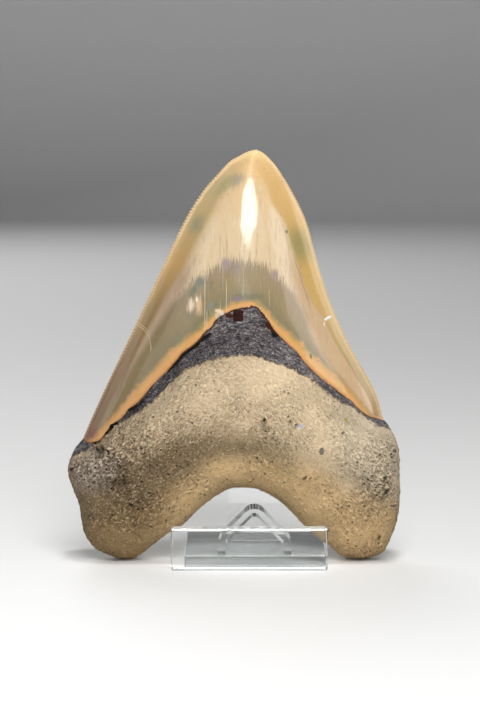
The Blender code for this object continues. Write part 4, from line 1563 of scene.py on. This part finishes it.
@dataclass(frozen=True)
class RootFinish:
    """Porous fossil root, tan to grey, and the rough dark band under the enamel."""

    light: Colour = srgb(242, 220, 188)
    middle: Colour = srgb(205, 175, 132)
    dark: Colour = srgb(118, 94, 66)
    peach: Colour = srgb(222, 194, 164)
    # Partly the root's own greenish-brown tint, partly painted shade under the crest.
    olive_shaded: Colour = srgb(156, 134, 92)
    golden: Colour = srgb(198, 162, 106)
    grey: Colour = srgb(226, 211, 197)
    # Painted light: the two pale colours below make the root lighter on the right, above the crest and near
    # the notch, where light falls and bounces up from the floor.
    pale: Colour = srgb(250, 224, 184)
    bounce_pale: Colour = srgb(252, 214, 158)
    # Painted light on the right lobe, where the light from the right falls.
    right_lobe_light: Colour = srgb(255, 238, 208)
    rim_ochre: Colour = srgb(176, 136, 80)
    crumb: Colour = srgb(248, 228, 198)
    pore: Colour = srgb(84, 62, 40)
    hole: Colour = srgb(56, 42, 30)
    pit: Colour = srgb(40, 28, 18)
    seam: Colour = srgb(58, 34, 26)
    crack: Colour = srgb(18, 13, 12)
    clouds: Grain = Grain((0.08, 0.08, 0.1), 3.0)
    mottling: Grain = Grain((0.6, 0.6, 0.7), 3.0, 0.6)
    grain: Grain = Grain((1.15, 1.9, 2.2), 3.0, 0.72)
    grit: Grain = Grain((2.6, 2.6, 2.9), 1.5, 0.6)
    flakes: Grain = Grain((0.85, 1.3, 1.5), 3.0, 0.66)
    chips: Grain = Grain((1.5, 1.5, 2.0), 2.0, 0.75)
    lighting: Grain = Grain((0.14, 0.14, 0.18), 1.0)
    strata: Grain = Grain((1.0, 1.0, 1.0), 4.0, 0.7)
    strata_squeeze: Span = (0.4, 1.7)
    specks_per_mm: Triple = (0.8, 0.8, 1.0)
    tiny_per_mm: Triple = (1.3, 2.0, 2.2)
    crest_height: float = 41.5
    crest_droop: float = 0.0062
    crest_ends: float = 2.3
    band_bump_mm: float = 1.6
    bump_mm: float = 1.5
    specular: float = 0.3
    band_stops: Stops = shades(
        (0.23, 22, 20, 22), (0.40, 84, 78, 81), (0.56, 134, 126, 127), (0.74, 208, 201, 195))
    remnants: tuple[Mark, ...] = (
        Mark(1.2, 80.7, 1.75, 2, 0, srgb(66, 26, 18), 0.08, 6, 0.35),
        Mark(-1.7, 80.6, 1.3, 0.8, -12, srgb(92, 48, 34), 0.2, 2, 0.8),
        Mark(11.8, 76.6, 1, 2.4, 36, srgb(84, 34, 22), 0.1, 4, 0.7),
        Mark(13.4, 74.6, 1.3, 1.2, 36, srgb(18, 12, 12), 0.15, 3, 0.8))
    spots: tuple[Mark, ...] = (
        Mark(21.9, 43.7, 1.35, 0.7, 12, srgb(238, 228, 230)),
        Mark(8.6, 44.2, 1, 0.5, 30, srgb(214, 196, 180)),
        Mark(17.6, 43.6, 1.9, 0.3, -24, srgb(226, 210, 176)),
        Mark(29, 35.6, 0.85, 1.2, 0, srgb(144, 138, 124)), Mark(37.2, 46.2, 0.55, 0.6, 0, srgb(208, 190, 84)),
        Mark(47.6, 47.2, 0.7, 0.5, 0, srgb(86, 64, 40)))

    def tan(
        self, graph: Graph, front: bpy.types.NodeSocket, mottle: Value, grain: Value, cloud: Value
    ) -> bpy.types.NodeSocket:
        """Colour of the bare root, with painted light on the right, above the crest and along the notch, and
        painted shade on the left under the crest.

        Args:
            graph: The material's nodes.
            front: Places in millimetres.
            mottle: Coarse blotches.
            grain: Fine grain.
            cloud: Soft wide blotches.

        Returns:
            The colour.
        """
        x, _, z = graph.parts(front)
        rough, shoulder, tongue, rim = graph.values("rough", "shoulder", "tongue", "rim")
        blotch, soft = mottle - 0.5, cloud - 0.5
        tone = blotch * (0.25 + rough * 0.4) + (grain - 0.5) * (0.5 + rough * 1.1) + 0.6
        ends = abs(x + 2).rise(28, 12) * self.crest_ends
        crest = self.crest_height - x * x * self.crest_droop + ends
        below = crest - z
        # Painted shade: darker on the left below the crest, where the surface turns down and away from the
        # light.
        shaded = (x + soft * 12).rise(20, -16) * (below + soft * 6).rise(-4, 6) * tongue
        # Painted light: lighter towards the right and above the crest, where the light falls.
        lit_share = (x + soft * 12).rise(0, 30) * 0.76 + (z - crest + soft * 6).rise(-3, 12) * 0.45
        # Painted light bounced up from the floor, along the rim of the notch.
        bounce_share = rim.rise(14.0, 5.0) * abs(x - 2).rise(34, 17) * 0.95
        lit_colour = graph.mix(below.rise(2, 12), self.pale, self.bounce_pale)
        return graph.layered(
            graph.ramp(tone, ((0.22, self.dark), (0.48, self.middle), (0.76, self.light))),
            ((rough + blotch * 0.5).rise(0.75, 0.45) * 0.6, self.peach),
            # Partly the root's own tint, partly painted shade under the crest where the surface faces down.
            ((below + soft * 10).rise(-2, 7) * 0.7, self.olive_shaded),
            ((below + soft * 8).rise(11, 20) * 0.6, self.golden),
            ((shoulder + blotch * 1.1 + soft * 1.4).rise(0.15, 0.95) * tongue * 0.8, self.grey),
            # Painted shade on the left below the crest.
            (shaded * 0.4, self.dark),
            # Painted light laid over the root.
            (lit_share.least(1.0).most(bounce_share) * tongue, lit_colour),
            # Painted light on the right lobe.
            (x.rise(28, 44) * z.rise(16, 30) * tongue * 0.65, self.right_lobe_light),
            (rim.rise(2.2, 0.3) * 0.3, self.rim_ochre))

    def material(self) -> bpy.types.Material:
        """Builds the root's nodes.

        Returns:
            The material.
        """
        graph = Graph("porous_root")
        front, place, lobe = (graph.vector(name) for name in ("front", "place", "lobe"))
        x, y, z = graph.parts(front)
        below, in_band, tongue, pore, pit, crack, rough = graph.values(
            "enamel", "bourlette", "tongue", "pore", "pit", "crack", "rough")
        cloud = graph.noise(place, self.clouds)
        mottle = graph.noise(place, self.mottling)
        grain = graph.noise(lobe, self.grain)
        grit = graph.noise(place, self.grit)
        chips = graph.noise(place, self.chips)
        lit = graph.noise(place, self.lighting)
        blotch, fine, gritty = mottle - 0.5, grain - 0.5, grit - 0.5

        reach, chance = graph.cells(place, self.specks_per_mm)
        specks = (reach + fine * 0.7).rise(0.36, 0.24) * (chance - (1.2 - rough * 0.36)).rise(0.0, 0.05)
        reach, chance = graph.cells(lobe, self.tiny_per_mm)
        tiny = reach.rise(0.4, 0.28) * (chance - (1.06 - rough * 0.3)).rise(0.0, 0.1)
        specks = specks.most(tiny * 0.8)
        flake = graph.noise(lobe, self.flakes).rise(0.41, 0.55)
        low_grain = grain * 0.6 + grit * 0.4
        broken = rough * rough
        bare = graph.layered(
            self.tan(graph, front, mottle, grain, cloud),
            ((low_grain - 0.5).rise(0.02, 0.12) * flake * (broken * 0.65 + 0.12).least(1.0), self.crumb),
            ((1 - flake) * (broken - 0.3) * 0.36, self.pore),
            ((0.455 - low_grain).rise(0.0, 0.07) * (rough - 0.3) * 0.5, self.pore),
            (specks * (0.45 + rough * 0.35), self.hole),
            (pore.rise(0.35, 0.9) * 0.7, self.pore),
            ((pit + gritty * 0.8).rise(0.6, 1.2) * 0.9, self.pit),
            *((spot.mask(x, z, grain) * tongue, spot.colour) for spot in self.spots))

        along, through = self.strata_squeeze
        strata = graph.noise(graph.joined(x * along, y * along, in_band * through), self.strata)
        right_side = x.rise(6, 16) * 0.05 + z.rise(72, 79) * x.rise(12, 4) * 0.05
        sparkle = (strata * 0.5 + chips * 0.5 - 0.5) * 1.8 + 0.48 + (lit - 0.5) * 0.25 + right_side
        bourlette = graph.layered(
            graph.ramp(sparkle, self.band_stops),
            *((remnant.mask(x, z, chips), remnant.colour) for remnant in self.remnants))
        on_band = (in_band + blotch * 2.6 + fine * 1.6).rise(-0.3, 0.3)
        colour = graph.layered(
            bare,
            (on_band, bourlette),
            (below.rise(0.5, 0.1) * (0.2 + 0.7 * z.rise(66, 76)), self.seam),
            ((crack + (chips - 0.5) * 0.7).rise(1.15, 0.6), self.crack))

        band_bump = graph.bump((strata * 0.45 + chips * 0.55) * on_band, self.band_bump_mm)
        relief = fine * 0.8 + gritty * 0.4 + blotch * 0.4 + flake * 0.3 - specks * 0.35
        porous = graph.bump(relief * (0.3 + rough * 0.8), self.bump_mm, band_bump)
        return graph.finish(
            base_color=colour, roughness=0.8 - on_band * 0.12, normal=porous,
            specular_ior_level=self.specular)


@dataclass(frozen=True)
class AcrylicFinish:
    """Clear polished acrylic with very faint polishing marks."""

    tint: Colour = (0.975, 0.985, 0.98)
    shadow: Colour = (0.86, 0.87, 0.87)
    ior: float = 1.49
    marks: Grain = Grain((900.0, 900.0, 140.0), 3.0)
    polished: float = 0.008
    marked: float = 0.02

    def material(self) -> bpy.types.Material:
        """Builds the acrylic's nodes, with a light shadow.

        Returns:
            The material.
        """
        graph = Graph("clear_acrylic_polished")
        place = graph.node("ShaderNodeTexCoord", {}, {}).outputs["Object"]
        marks = graph.noise(place, self.marks).rise(0.55, 0.8)
        made = graph.finish(
            base_color=self.tint, transmission_weight=1.0, ior=self.ior,
            roughness=self.polished + marks * self.marked)
        open_shadow = graph.node("ShaderNodeBsdfTransparent", {}, {0: self.shadow}).outputs[0]
        lamp_ray = graph.node("ShaderNodeLightPath", {}, {}).outputs["Is Shadow Ray"]
        inputs = {0: lamp_ray, 1: graph.shader.outputs[0], 2: open_shadow}
        mixed = graph.node("ShaderNodeMixShader", {}, inputs)
        graph.feed(graph.tree.nodes["Material Output"].inputs["Surface"], mixed.outputs[0])
        return made


# --- surroundings --------------------------------------------------------------------------------
@dataclass(frozen=True)
class Softbox:
    """An oval area light: its place and size in metres, its power in watts."""

    name: str
    place: Triple
    size: Span
    watts: float
    mirrored: bool = True

    def build(self, target: Triple) -> None:
        """Adds the light, turned towards a target.

        Args:
            target: What it lights, in metres.
        """
        data = bpy.data.lights.new(self.name, "AREA")
        data.shape = "ELLIPSE"
        data.size, data.size_y = self.size
        data.energy = self.watts
        light = added(self.name, data)
        light.location = self.place
        light.visible_camera = False
        light.visible_glossy = self.mirrored
        light.rotation_euler = (Vector(target) - Vector(self.place)).to_track_quat("-Z", "Y").to_euler()


@dataclass(frozen=True)
class Studio:
    """Pale floor curving up to a backdrop, soft lights and the camera; lengths of the floor in metres."""

    floor_colour: Colour = (0.90, 0.90, 0.89)
    floor_roughness: float = 0.55
    speckle_tone: float = 0.985
    speckle: Grain = Grain((60.0, 60.0, 60.0), 3.0)
    near: float = -3.5
    far: float = 2.4
    radius: float = 0.25
    high: float = 0.38
    half_width: float = 4.5
    steps: int = 16
    target: Triple = (2.0, 0.0, 65.26)
    distance: float = 881.9
    elevation_deg: float = 6.02
    azimuth_deg: float = 0.09
    lens: float = 132.35
    sensor: float = 36.0
    clip: Span = (0.01, 20.0)
    lit: Triple = (0.0, 0.0, 0.07)
    surround: Colour = (0.92, 0.95, 1.0)
    surround_strength: float = 0.05
    softboxes: tuple[Softbox, ...] = (
        Softbox("key", (0.085, -0.53, 0.60), (0.42, 0.36), 3.3),
        Softbox("right", (1.05, -0.50, 0.62), (0.5, 0.5), 0.9),
        Softbox("left", (-1.1, -0.6, 0.5), (0.8, 0.9), 1.2),
        Softbox("low", (0.45, -2.2, 0.80), (2.2, 0.9), 18.0, mirrored=False),
        Softbox("top", (0.05, -0.25, 1.25), (0.25, 0.25), 5.5),
        Softbox("back", (-0.6, 1.5, 1.0), (1.4, 1.1), 10.0))

    def floor(self) -> None:
        """A sweep: flat, then curving up behind the object."""
        start, radius = self.far - self.radius, self.radius
        turns = np.linspace(0, math.pi / 2, self.steps + 1)[1:]
        curve = [(start + radius * math.sin(turn), radius - radius * math.cos(turn)) for turn in turns]
        path = [(self.near, 0.0), (start, 0.0), *curve, (self.far, self.high)]
        vertices = [(side * self.half_width, y, z) for y, z in path for side in (-1, 1)]
        faces = [(2 * k, 2 * k + 1, 2 * k + 3, 2 * k + 2) for k in range(len(path) - 1)]
        data = bpy.data.meshes.new("sweep")
        data.from_pydata(vertices, [], faces)
        data.shade_smooth()
        made = added("sweep", data)
        graph = Graph("pale_floor")
        place = graph.node("ShaderNodeTexCoord", {}, {}).outputs["Object"]
        speckled = tuple(part * self.speckle_tone for part in self.floor_colour)
        tone = graph.mix(graph.noise(place, self.speckle), self.floor_colour, speckled)
        data.materials.append(graph.finish(base_color=tone, roughness=self.floor_roughness))

    def lights(self) -> None:
        """The softboxes (key, sides, low front, top and back) and a faint pale surround."""
        for softbox in self.softboxes:
            softbox.build(self.lit)
        world = bpy.data.worlds.new("soft_surround")
        world.use_nodes = True
        surround = world.node_tree.nodes["Background"]
        surround.inputs["Color"].default_value = (*self.surround, 1.0)
        surround.inputs["Strength"].default_value = self.surround_strength
        bpy.context.scene.world = world
        bpy.context.scene.view_settings.view_transform = "Standard"

    def camera(self) -> None:
        """The camera, square to the leaning tooth from a little above."""
        up, turn = math.radians(self.elevation_deg), math.radians(self.azimuth_deg)
        ahead = Vector((math.sin(turn) * math.cos(up), math.cos(turn) * math.cos(up), -math.sin(up)))
        data = bpy.data.cameras.new("camera")
        data.sensor_width, data.sensor_fit = self.sensor, "AUTO"
        data.lens = self.lens
        data.clip_start, data.clip_end = self.clip
        camera = added("camera", data)
        camera.location = Vector(self.target) * MM - ahead * self.distance * MM
        camera.rotation_euler = ahead.to_track_quat("-Z", "Y").to_euler()
        bpy.context.scene.camera = camera


def dress(piece: bpy.types.Object, material: bpy.types.Material, slot: str | None = None) -> None:
    """Gives a piece its only material, and attaches a piece that this script adds to the root body.

    Args:
        piece: The object.
        material: Its material.
        slot: Set for a piece that this script adds, which then goes under the root body; only whether it is
            set is used.
    """
    piece.data.materials.clear()
    piece.data.materials.append(material)
    if slot:
        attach(piece, "root")
    LOG.info("%s: %d faces, %s", piece.name, len(piece.data.polygons), material.name)


def main() -> None:
    """Builds the scene."""
    logging.basicConfig(level=logging.INFO, format="%(name)s: %(message)s")
    pose = ToothPose()
    shape = ToothShape().laid_out(pose)
    crown = Crown(shape, pose).build()
    root = Root(shape, pose).build()
    dress(crown, EnamelFinish().material(), "fossil")
    dress(root, RootFinish().material(), "fossil")
    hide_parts("tooth")
    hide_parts("tooth")
    acrylic = AcrylicFinish().material()
    for name in ("front_bar", "base_plate", "saddle", "back_strip"):
        dress(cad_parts[name], acrylic)
    studio = Studio()
    studio.floor()
    studio.lights()
    studio.camera()


if __name__ == "__main__":
    main()
